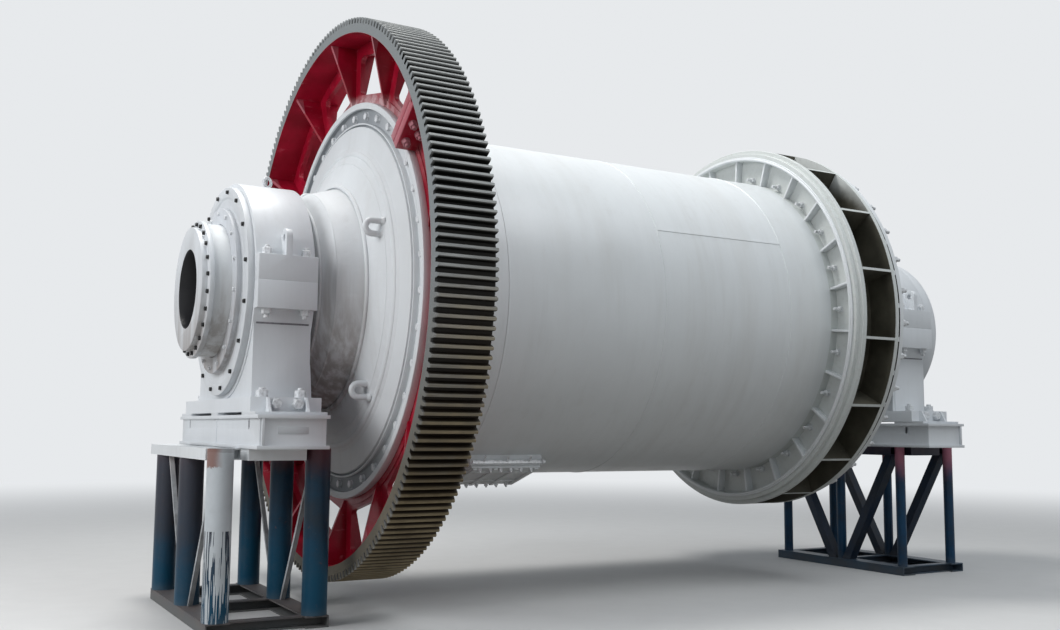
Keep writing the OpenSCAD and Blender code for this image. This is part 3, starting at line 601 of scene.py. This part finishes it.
def eased(bm, edges, offset, segments=2):
    """Bevels edges by an offset."""
    bmesh.ops.bevel(bm, geom=edges, offset=offset, segments=segments, profile=0.5, affect="EDGES",
                    material=-1)


def disc(bm, radius, low, high, segments=16, top=None):
    """Adds a round or many-sided block from low to high along Z; top is its radius at the upper end."""
    spot = Matrix.Translation((0, 0, (low + high) / 2))
    made = bmesh.ops.create_cone(bm, cap_ends=True, segments=segments, radius1=radius,
                                 radius2=radius if top is None else top, depth=high - low, matrix=spot)
    return made["verts"]


def hex_bolt(across, head=0.65, stud=0.0):
    """A hexagon head or nut on a washer; stud is how far the end of a stud stands out of it."""
    bm = bmesh.new()
    disc(bm, across * 0.62, -0.002, across * 0.1, 20)
    base = across * 0.09
    height = across * head
    body = disc(bm, across / 1.732, base, base + height, 6)
    rim = [e for v in body for e in v.link_edges if all(u.co.z > base + height * 0.9 for u in e.verts)]
    eased(bm, list(set(rim)), across * 0.07, 1)
    if stud:
        tip = base + height + stud
        disc(bm, across * 0.30, base + height * 0.9, tip, 14)
        disc(bm, across * 0.30, tip, tip + across * 0.06, 14, across * 0.24)
    return bm


def round_bar(points, radius, closed=False, segments=10):
    """A round bar bent along points."""
    bm = bmesh.new()
    points = [Vector(p) for p in points]
    last = len(points) - 1
    rings = []
    for i, point in enumerate(points):
        before = points[i - 1] if i or closed else point
        after = points[(i + 1) % len(points)] if i < last or closed else point
        turned = (after - before).to_track_quat("Z", "Y").to_matrix().to_4x4()
        turned.translation = point
        rings.append(bmesh.ops.create_circle(bm, segments=segments, radius=radius, matrix=turned,
                                             cap_ends=not closed and i in (0, last))["verts"])
    pairs = list(zip(rings, rings[1:])) + ([(rings[-1], rings[0])] if closed else [])
    for one, two in pairs:
        edges = [e for ring in (one, two) for v in ring for e in v.link_edges
                 if all(u in ring for u in e.verts)]
        bmesh.ops.bridge_loops(bm, edges=list(set(edges)))
    bmesh.ops.recalc_face_normals(bm, faces=bm.faces)
    return bm


def bar_ring(ring, bar, steps=28, segments=12):
    """A round bar bent to a ring in the XZ plane."""
    turns = [i * math.tau / steps for i in range(steps)]
    return round_bar([(ring * math.cos(t), 0, ring * math.sin(t)) for t in turns], bar, True, segments)


def lifting_eye(ring=0.046, bar=0.014):
    """An eyebolt: collar, neck and ring."""
    base = bmesh.new()
    disc(base, ring * 0.8, -0.002, bar, 18)
    disc(base, ring * 0.6, bar * 0.9, bar * 2.4, 18, bar * 1.2)
    return joined((base, Matrix()), (bar_ring(ring, bar), Matrix.Translation((0, 0, ring + bar * 2.0))))


def ring_about_shaft(outline, steps=192):
    """A ring about the shaft from a closed outline of (radius, x) points."""
    bm = bmesh.new()
    verts = [bm.verts.new((x, 0, AXIS + radius)) for radius, x in outline]
    edges = [bm.edges.new(pair) for pair in zip(verts, verts[1:] + verts[:1])]
    bmesh.ops.spin(bm, geom=verts + edges, cent=(0, 0, AXIS), axis=(1, 0, 0), angle=math.tau,
                   steps=steps, use_merge=True)
    bmesh.ops.remove_doubles(bm, verts=bm.verts, dist=1e-6)
    bmesh.ops.recalc_face_normals(bm, faces=bm.faces)
    return bm


def weld_ring(x, radius, width, height):
    """A weld bead round the shaft."""
    return ring_about_shaft([(radius - SUNK, x - width / 2), (radius + height * 0.8, x - width * 0.28),
                             (radius + height, x), (radius + height * 0.8, x + width * 0.28),
                             (radius - SUNK, x + width / 2)])


def evenly(count, first=0.0):
    """Angles in equal steps all round."""
    return [first + i * 360 / count for i in range(count)]


# Frame parts with worked edges


def outer_end(node, side):
    """Place along the shaft of a node's face on one side."""
    low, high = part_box(node)
    return high.x if side > 0 else low.x


def worked(node, edge, shape=None):
    """Puts a copy of a frame node in its place, with welded corners and small bevels on its sharp edges."""
    source = frame["nodes"][node]
    bm = bmesh.new()
    bm.from_mesh(source.data)
    bmesh.ops.remove_doubles(bm, verts=bm.verts, dist=1e-5)
    bmesh.ops.dissolve_limit(bm, angle_limit=math.radians(0.3), verts=bm.verts, edges=bm.edges,
                             use_dissolve_boundaries=False, delimit={"NORMAL"})
    if shape:
        shape(bm)
    sharp = [e for e in bm.edges if len(e.link_faces) == 2 and e.calc_face_angle(0) > math.radians(32)]
    bmesh.ops.bevel(bm, geom=sharp, offset=edge, offset_type="OFFSET", segments=2, profile=0.5,
                    affect="EDGES", clamp_overlap=True, material=-1)
    made = piece(node + "_worked", bm, source["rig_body"], source.data.materials[0], 40)
    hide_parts(node)


def deepen_channel(bm):
    """Sets the floor of the head's bolt channel further in."""
    for v in bm.verts:
        if abs(v.co.x - CHANNEL_FLOOR) < 0.001 and 1.745 < math.hypot(v.co.y, v.co.z - AXIS) < 1.90:
            v.co.x += CHANNEL_DEEPER


WORKED = {
    "housing_base": 0.006, "housing_cap": 0.006, "bearing_box": 0.003, "outer_cover": 0.004,
    "seal_ring": 0.004, "trunnion_liner": 0.005, "inner_cover": 0.004,
}
for end in ("feed", "discharge"):
    for part, edge in WORKED.items():
        worked(f"{end}_{part}", edge)
worked("feed_head", 0.005, deepen_channel)


# Fasteners round the shaft

OUTWARD = {"feed": -1, "discharge": 1}
BEARING = {"feed": FEED, "discharge": OUT}
END_FLANGE_IN = 0.055
FEED_FLANGE_T = 0.06
CIRCLE_R = {
    "end_flange": 0.603, "seal_ring": 0.725, "inner_cover": 0.87, "outer_cover": 0.932, "head": 1.822,
    "feed_flange": 1.84, "pocket": 1.782, "disc": 2.062,
}


def bolt_circle(name, bolt, x, circle, angles, way, body="rotor", finish=painted,
                turn=0):
    """A piece of equal fasteners on a circle round the shaft, facing one way along it."""
    turned = BACK if way < 0 else Matrix()
    spots = [on_shaft(x, CIRCLE_R[circle], angle, turn) @ turned for angle in angles]
    piece(name, repeated(bolt, spots), body, finish)


for end, side in OUTWARD.items():
    flange_back = outer_end(f"{end}_trunnion_liner", side) - side * END_FLANGE_IN
    bolt_circle(f"{end}_end_flange_bolts", hex_bolt(0.034, 0.55), flange_back, "end_flange",
                evenly(24, 7.5), side, "rotor", darkened)
    bolt_circle(f"{end}_seal_ring_bolts", hex_bolt(0.032, 0.55), outer_end(f"{end}_seal_ring", side),
                "seal_ring", evenly(16, 5), side, "root", painted)
    bolt_circle(f"{end}_cover_bolts", hex_bolt(0.034, 0.55), outer_end(f"{end}_outer_cover", side),
                "outer_cover", evenly(16, 11.25), side, "root", darkened)
    bolt_circle(f"{end}_inner_cover_bolts", hex_bolt(0.032, 0.55), outer_end(f"{end}_inner_cover", -side),
                "inner_cover", evenly(16, 11.25), -side, "root", painted)
bolt_circle("feed_head_nuts", hex_bolt(0.066, 0.42), CHANNEL_FLOOR + CHANNEL_DEEPER, "head", evenly(36, 3),
            -1, turn=15)
bolt_circle("feed_flange_nuts", hex_bolt(0.070, 0.62, stud=0.02), SHELL_X + FEED_FLANGE_T, "feed_flange",
            evenly(36, 3), 1)
bolt_circle("discharge_flange_nuts", hex_bolt(0.058, 0.6, stud=0.060), POCKET_FLOOR, "pocket",
            evenly(24, 13.5), -1)
bolt_circle("discharge_head_nuts", hex_bolt(0.068, 0.85, stud=0.05), DISC_BACK, "disc", evenly(36, 2.5), 1)


# Discharge flange and rings of the feed head

GUSSET_T = 0.025
GUSSETS = evenly(24, 6)
FINE_STEPS = 256


def grown_along(bm, outline, vec):
    """Adds a bar: a face from an outline, pushed along a vector."""
    face = bm.faces.new([bm.verts.new(place) for place in outline])
    grown = bmesh.ops.extrude_face_region(bm, geom=[face])["geom"]
    bmesh.ops.translate(bm, vec=vec, verts=[g for g in grown if isinstance(g, bmesh.types.BMVert)])
    bmesh.ops.recalc_face_normals(bm, faces=bm.faces)


def gusset():
    """A gusset between shell and rim, its foot just under the shell, its back in the pocket's floor."""
    bm = bmesh.new()
    back = POCKET_FLOOR - RIM_FRONT + SUNK
    foot, top = SHELL_R - 0.003, POCKET_R + SUNK
    outline = [(foot, back), (top, back), (top, 0.022), (foot + 0.015, 0.030), (foot, 0.030)]
    grown_along(bm, [(radius, -GUSSET_T / 2, x) for radius, x in outline], (0, GUSSET_T, 0))
    eased(bm, list(bm.edges), 0.003)
    return bm


LIP = [(0.004, -0.004), (0.010, -0.009), (0.022, -0.009), (0.028, -0.004), (0.030, 0.0)]
rim = ring_about_shaft(
    [(POCKET_R, SHELL_END), (POCKET_R, RIM_FRONT + 0.004),
     *[(POCKET_R + radius, RIM_FRONT + x) for radius, x in LIP],
     (FLANGE_R - 0.005, RIM_FRONT), (FLANGE_R, RIM_FRONT + 0.005),
     (FLANGE_R, SHELL_END - 0.004), (FLANGE_R - 0.004, SHELL_END)], FINE_STEPS)
rim = piece("discharge_flange_rim", rim, "rotor", finishes["white_mill_paint"])
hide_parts("discharge_shell_flange")
drum = ring_about_shaft(
    [(DRUM_IN, SHELL_END), (SHELL_R, SHELL_END), (SHELL_R, POCKET_FLOOR), (POCKET_R, POCKET_FLOOR),
     (POCKET_R, SHELL_END), (FIRST_RING_R - 0.004, SHELL_END), (FIRST_RING_R, SHELL_END + 0.004),
     (FIRST_RING_R, RING_STEP_X - 0.001), (SECOND_RING_R - 0.004, RING_STEP_X - 0.001),
     (SECOND_RING_R, RING_STEP_X + 0.003), (SECOND_RING_R, CELL_X - 0.004),
     (SECOND_RING_R - 0.004, CELL_X), (DRUM_R, CELL_X),
     (DRUM_R, DRUM_BACK), (DRUM_IN, DRUM_BACK)], FINE_STEPS)
drum = piece("discharge_pocket_drum", drum, "rotor", finishes["grey_green_primer"])
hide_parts("discharge_cell_drum")
piece("discharge_flange_gussets", repeated(gusset(), [on_shaft(RIM_FRONT, 0, angle) for angle in GUSSETS]),
      "rotor", finishes["white_mill_paint"])


def raised_ring(radius, x, width, height, lean):
    """A rounded ring round the shaft; its outward side leans from the shaft's direction to the radius."""
    lean = math.radians(lean)
    out, across = Vector((math.sin(lean), -math.cos(lean))), Vector((math.cos(lean), math.sin(lean)))
    centre = Vector((radius, x)) - out * SUNK
    arc = [math.pi * i / 8 for i in range(9)]
    return ring_about_shaft([tuple(centre + across * (width / 2 * math.cos(t))
                                   + out * ((height + SUNK) * math.sin(t))) for t in arc])


# Radius, place, width, height and lean of each ring on the head and its neck
HEAD_RINGS = [(1.444, HEAD_FACE - 0.053, 0.060, 0.014, 19), (1.345, HEAD_FACE - 0.088, 0.022, 0.005, 19),
              (1.110, HEAD_FACE - 0.180, 0.040, 0.010, 42), (1.000, HEAD_FACE - 0.422, 0.030, 0.008, 56),
              (0.890, HEAD_FACE - 0.540, 0.030, 0.008, 56)]
for number, ring in enumerate(HEAD_RINGS, 1):
    piece(f"feed_head_ring_{number}", raised_ring(*ring), "rotor", node_finishes["feed_head"])


# Ring gear joints

JOINT = 141.0
JOINT_HALF = 0.090
JOINT_GAP = 0.003


def block(low, high, bevel=0.003):
    """A plain bar between two corners with eased edges."""
    bm = bmesh.new()
    size = Vector(high) - Vector(low)
    spot = Matrix.Translation((Vector(high) + Vector(low)) / 2) @ Matrix.Diagonal((*size, 1))
    bmesh.ops.create_cube(bm, size=1, matrix=spot)
    eased(bm, list(bm.edges), min(bevel, min(size) * 0.3))
    return bm


def across_joint(x, radius, angle, way):
    """A place on the face of a joint flange, facing round the gear."""
    spot = on_shaft(x, radius, angle)
    side = spot.col[1].xyz * way
    return facing(spot.translation + side * (JOINT_HALF - 0.001), side)


# Radius and place from the web of the two corners of each joint flange, and the same of each bolt
JOINT_FLANGES = [((1.966, -0.232), (2.575, -0.012)), ((2.022, 0.012), (2.575, 0.165))]
JOINT_BOLTS = [(2.06, -0.165), (2.25, -0.165), (2.44, -0.165), (2.15, -0.075), (2.35, -0.075), (2.13, 0.095),
               (2.36, 0.095)]
JOINTS = (JOINT, JOINT + 180)
plates = []
for joint in JOINTS:
    spot = on_shaft(WEB_X, 0, joint)
    for low, high in ((JOINT_GAP / 2, JOINT_HALF), (-JOINT_HALF, -JOINT_GAP / 2)):
        for (r_low, x_low), (r_high, x_high) in JOINT_FLANGES:
            plates.append((block((r_low, low, x_low), (r_high, high, x_high), 0.007), spot))
piece("gear_joint_flanges", joined(*plates), "rotor", finishes["red_gear_paint"])
joint_spots = [across_joint(WEB_X + x, radius, joint, way)
               for radius, x in JOINT_BOLTS for joint in JOINTS for way in (-1, 1)]
piece("gear_joint_bolts", repeated(hex_bolt(0.066, 0.65, stud=0.025), joint_spots), "rotor",
      dusty_red)


# Welds of the shell


def bead(length, width, height=0.006):
    """A straight weld bead along X on a flat at Z zero."""
    bm = bmesh.new()
    profile = [(-width / 2, -SUNK), (-width * 0.36, height * 0.9), (0, height), (width * 0.36, height * 0.9),
               (width / 2, -SUNK)]
    grown_along(bm, [(-length / 2, y, z) for y, z in profile], (length, 0, 0))
    return bm


for number in (1, 2, 3):
    seam_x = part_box(f"shell_course_{number}")[1].x
    piece(f"shell_seam_weld_{number}", weld_ring(seam_x, SHELL_R, 0.026, 0.006), "rotor",
          node_finishes["shell_course"])

# Angle and width of the long seam of each course, and how far it stops short of the course's two ends
LONG_SEAMS = {1: (-30, 0.022, 0.065, 0.005), 2: (20, 0.022, 0, 0), 3: (155, 0.036, 0, 0),
              4: (60, 0.022, 0.005, 0.065)}
for number, (angle, width, from_low, from_high) in LONG_SEAMS.items():
    low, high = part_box(f"shell_course_{number}")
    start, stop = low.x + from_low, high.x - from_high
    piece(f"shell_long_weld_{number}",
          repeated(bead(stop - start, width), [off_shell((start + stop) / 2, SHELL_R, angle)]),
          "rotor", node_finishes["shell_course"])


# Lifting handles


def lifting_handle(spread=0.060, bar=0.029, reach=0.185):
    """A bar bent to a U, its feet welded down with small fillets."""
    turns = [math.pi * i / 12 for i in range(13)]
    bend = [(-spread * math.cos(t), 0, reach - spread - bar + spread * math.sin(t)) for t in turns]
    feet = bmesh.new()
    for way in (-1, 1):
        made = disc(feet, bar * 1.55, -0.012, 0.016, 16, bar * 1.05)
        bmesh.ops.translate(feet, vec=(way * spread, 0, 0), verts=made)
    return joined((round_bar([(-spread, 0, -0.02), *bend, (spread, 0, -0.02)], bar, segments=14), Matrix()),
                  (feet, Matrix()))


def head_surface(radius):
    """Place along the shaft of the head's face between its ridge and its neck."""
    ridge, neck = (1.500, HEAD_FACE - 0.033), (1.110, HEAD_FACE - 0.170)
    return neck[1] + (ridge[1] - neck[1]) * (radius - neck[0]) / (ridge[0] - neck[0])


HANDLES = [(1.33, 156.8), (1.34, -136.0), (1.15, 66.0)]
handle_spots = []
for radius, angle in HANDLES:
    upright = Matrix((Vector((0, 0, 1)), Vector((0, 1, 0)), Vector((-1, 0, 0)))).transposed().to_4x4()
    upright.translation = on_shaft(head_surface(radius), radius, angle).translation
    handle_spots.append(upright)
piece("feed_head_lifting_handles", repeated(lifting_handle(), handle_spots), "rotor",
      finishes["white_mill_paint"])


# Manhole

MANHOLE = off_shell(WEB_X + 1.306, SHELL_R + 0.070, 252)
COVER_X, COVER_Y, COVER_T = 0.38, 0.30, 0.026
BAR_IN = 0.01
RIB_X, RIB_HALF, RIB_TOP = (-0.34, -0.115, 0.115, 0.34), 0.022, 0.042
RAIL_Y, RAIL_HALF, RAIL_TOP = (-0.16, 0.16), 0.014, 0.036
BOLT_X, BOLT_Y = (-0.285, -0.17, -0.055, 0.055, 0.17, 0.285), (-0.275, 0.275)
ROD_X, ROD_R = (-0.26, -0.01, 0.24), 0.011
ROD_PATH = [(0, 0.30, -0.020), (0, 0.335, -0.028), (-0.002, 0.37, -0.040), (-0.008, 0.40, -0.050),
            (-0.018, 0.425, -0.058)]
HINGE_BAR = ((-0.385, 0.318, -0.045), (0.392, 0.345, -0.006))
KNOB = (0.385, 0.331, -0.026)

cover = [block((-COVER_X, -COVER_Y, 0), (COVER_X, COVER_Y, COVER_T))]
for x in RIB_X:
    cover.append(block((x - RIB_HALF, BAR_IN - COVER_Y, 0.02), (x + RIB_HALF, COVER_Y - BAR_IN, RIB_TOP)))
for y in RAIL_Y:
    cover.append(block((BAR_IN - COVER_X, y - RAIL_HALF, 0.02), (COVER_X - BAR_IN, y + RAIL_HALF, RAIL_TOP)))
cover = joined(*[(part, MANHOLE) for part in cover])
cover = piece("manhole_cover_plate", cover, "rotor", finishes["white_mill_paint"])
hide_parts("manhole_cover")
bolt_spots = [MANHOLE @ Matrix.Translation((x, y, 0.025)) for y in BOLT_Y for x in BOLT_X]
piece("manhole_bolts", repeated(hex_bolt(0.034, 0.65, stud=0.014), bolt_spots), "rotor", bright)
rods = [(round_bar([(x + dx, y, z) for dx, y, z in ROD_PATH], ROD_R), MANHOLE) for x in ROD_X]
rods.append((block(*HINGE_BAR, 0.006), MANHOLE))
knob = bmesh.new()
disc(knob, 0.030, 0, 0.035, 18, 0.022)
rods.append((knob, MANHOLE @ Matrix.Translation(KNOB) @ Matrix.Rotation(math.pi / 2, 4, "Y")))
piece("manhole_studs", joined(*rods), "rotor", bright)


# Fasteners, seams and strips of the housings and their boxes

UP, DOWN = Vector((0, 0, 1)), Vector((0, 0, -1))
LUG_TOP, LUG_BOTTOM = AXIS + 0.225, AXIS - 0.245
FOOT_OUT = 0.025
FOOT_TOP = BOX_TOP + 0.15
FOOT_SCREW_Z = BOX_TOP + 0.095
# Half distances along the shaft and across it, between the fasteners of each kind
UNDER_LUGS, ON_LUGS, ON_FOOT, FOOT_ENDS = (0.17, 1.03), (0.175, 1.02), (0.17, 1.07), (0.095, 1.22)
EYEBOLT_X, EYEBOLT_Z = 0.09, AXIS + 1.019
SEAM_X, SEAM_Y, SEAM_Z = 0.235, 0.954, (AXIS - 0.374, AXIS - 0.359)
BOX_FACE_IN = 0.025
STRIP_HALF = 0.012
STRIP_Y = 1.452
NAME_PLATE_HALF = (0.13, 0.029)
NAME_PLATE_Y = (-1.444, -1.438)


def pairs(x, half_x, half_y):
    """Four places about a bearing: on both sides along the shaft and across it."""
    return [(x + dx, y) for dx in (-half_x, half_x) for y in (-half_y, half_y)]


def still(name, bm, finish=painted):
    """A piece that stays with the stands."""
    piece(name, bm, "root", finish)


for end, side in OUTWARD.items():
    x = BEARING[end]
    foot = x + side * FOOT_OUT
    under = [facing((u, v, LUG_BOTTOM), DOWN, 12) for u, v in pairs(x, *UNDER_LUGS)]
    ledge = [facing((u, v, FOOT_TOP), UP, 20) for u, v in pairs(foot, *ON_FOOT)]
    outward = [facing((u, v, FOOT_SCREW_Z), (0, v, 0), 8) for u, v in pairs(foot, *FOOT_ENDS)]
    upper = [facing((u, v, LUG_TOP), UP, 12) for u, v in pairs(x, *ON_LUGS)]
    still(f"{end}_housing_nuts", repeated(hex_bolt(0.075, 0.6, stud=0.03), under))
    still(f"{end}_foot_nuts", repeated(hex_bolt(0.092, 0.62, stud=0.016), ledge))
    still(f"{end}_foot_screws", repeated(hex_bolt(0.082, 0.60), outward))
    still(f"{end}_lug_heads", repeated(hex_bolt(0.075, 0.75, stud=0.018), upper))
    still(f"{end}_housing_eyebolt", repeated(lifting_eye(), [facing((x + EYEBOLT_X, 0, EYEBOLT_Z), UP, 25)]))
    # Dark strips at the pedestals' split lines, standing for the seam and painted shade in the gap.
    seams = [(block((x - SEAM_X, y - 0.004, SEAM_Z[0]), (x + SEAM_X, y + 0.004, SEAM_Z[1]), 0.001), Matrix())
             for y in (-SEAM_Y, SEAM_Y)]
    still(f"{end}_pedestal_seams", joined(*seams), seam_shade)

    box_low, box_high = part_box(f"{end}_bearing_box")
    face = box_high.x - BOX_FACE_IN if side > 0 else box_low.x + BOX_FACE_IN
    strips = [(block((face - 0.004, -0.006, box_low.z + 0.03),
                     (face + 0.004, 0.006, box_high.z - 0.03)), Matrix())]
    edge = face - side * 0.024
    for y in (-STRIP_Y, STRIP_Y):
        strips.append((block((edge - STRIP_HALF, y - STRIP_HALF, box_low.z + 0.029),
                             (edge + STRIP_HALF, y + STRIP_HALF, box_high.z - 0.029)), Matrix()))
    still(f"{end}_box_stiffeners", joined(*strips), finishes["white_housing_paint"])

plate_x, plate_z = middle("feed_bearing_box").x, BOX_TOP - 0.128
half_x, half_z = NAME_PLATE_HALF
still("feed_box_plate", block((plate_x - half_x, NAME_PLATE_Y[0], plate_z - half_z),
                              (plate_x + half_x, NAME_PLATE_Y[1], plate_z + half_z), 0.0015), plate_metal)


# Lamps, floor, world and camera

BACKDROP = rgb(0.80, 0.82, 0.84)
SKY = rgb(0.86, 0.93, 1.0)
FLOOR_HALF = 120


def lamp(name, place, aim, power, width, height, colour):
    """A rectangular soft lamp."""
    data = bpy.data.lights.new(name, "AREA")
    data.shape, data.size, data.size_y = "RECTANGLE", width, height
    data.energy, data.color = power, colour
    made = shown(name, data)
    made.location = place
    made.rotation_euler = (Vector(aim) - Vector(place)).to_track_quat("-Z", "Y").to_euler()


lamp("key", (-3.5, 2.5, 14.5), (-0.5, 0, 3), 1120, 4, 4, (1.0, 0.985, 0.96))
lamp("sky", (1.5, -7.0, 12.5), (0, 0, 3.5), 570, 8, 6, (0.95, 0.98, 1.0))
lamp("side", (-14.0, -2.5, 6.5), (-3.0, 0, 3), 760, 6, 6, (0.99, 0.99, 1.0))
lamp("fill", (3, -17, 7), (0, 0, 3), 50, 9, 6, (0.97, 0.985, 1.0))


def floor_paint():
    """Grey for light that bounces, paler where it is seen, and the backdrop's colour far out."""
    finish = Finish("pale_floor", Roughness=0.9)
    seen = finish.seen_directly()
    pale = finish.colour(finish.noise(3.0, 5.0, 0.6), rgb(0.60, 0.60, 0.595), rgb(0.66, 0.66, 0.655))
    finish.set(Base_Color=finish.colour(seen, rgb(0.27, 0.255, 0.235), pale))
    x, y, _ = finish.parts()
    distance = (x * x + y * y) ** 0.5
    shader = Value(finish, finish.shader.outputs[0])
    glow = finish.add("ShaderNodeEmission", None, {"Color": BACKDROP})
    blend = finish.add("ShaderNodeMixShader", None, {0: distance.ramp(7.0, 26.0) * seen, 1: shader, 2: glow})
    finish.put(finish.tree.nodes["Material Output"].inputs[0], blend)
    return finish.material


sheet = bmesh.new()
bmesh.ops.create_grid(sheet, x_segments=1, y_segments=1, size=FLOOR_HALF)
ground = as_mesh(sheet, "floor")
ground.materials.append(floor_paint())
shown("floor", ground)

world = bpy.data.worlds.new("studio")
world.use_nodes = True
world.node_tree.nodes.clear()
studio = Nodes(world.node_tree)
light = studio.add("ShaderNodeBackground", None, {"Color": SKY, "Strength": 0.34})
backdrop = studio.add("ShaderNodeBackground", None, {"Color": BACKDROP, "Strength": 1.0})
mixed = studio.add("ShaderNodeMixShader", None, {0: studio.seen_directly(), 1: light, 2: backdrop})
studio.put(studio.tree.nodes.new("ShaderNodeOutputWorld").inputs["Surface"], mixed)
bpy.context.scene.world = world

YAW, PITCH, ROLL = (math.radians(a) for a in (29.584, 6.016, 0.444))
EYE = (FEED - 2.782, -10.245, 1.697)
ahead = Vector((math.sin(YAW) * math.cos(PITCH), math.cos(YAW) * math.cos(PITCH), math.sin(PITCH)))
level = Vector((math.cos(YAW), -math.sin(YAW), 0))
right = math.cos(ROLL) * level + math.sin(ROLL) * level.cross(ahead)
lens = bpy.data.cameras.new("camera")
lens.sensor_width, lens.lens = 36.0, 36.79
camera = shown("camera", lens)
axes = Matrix((right, right.cross(ahead).normalized(), -ahead)).transposed().to_4x4()
camera.matrix_world = Matrix.Translation(EYE) @ axes
bpy.context.scene.camera = camera
bpy.context.scene.view_settings.view_transform = "Standard"
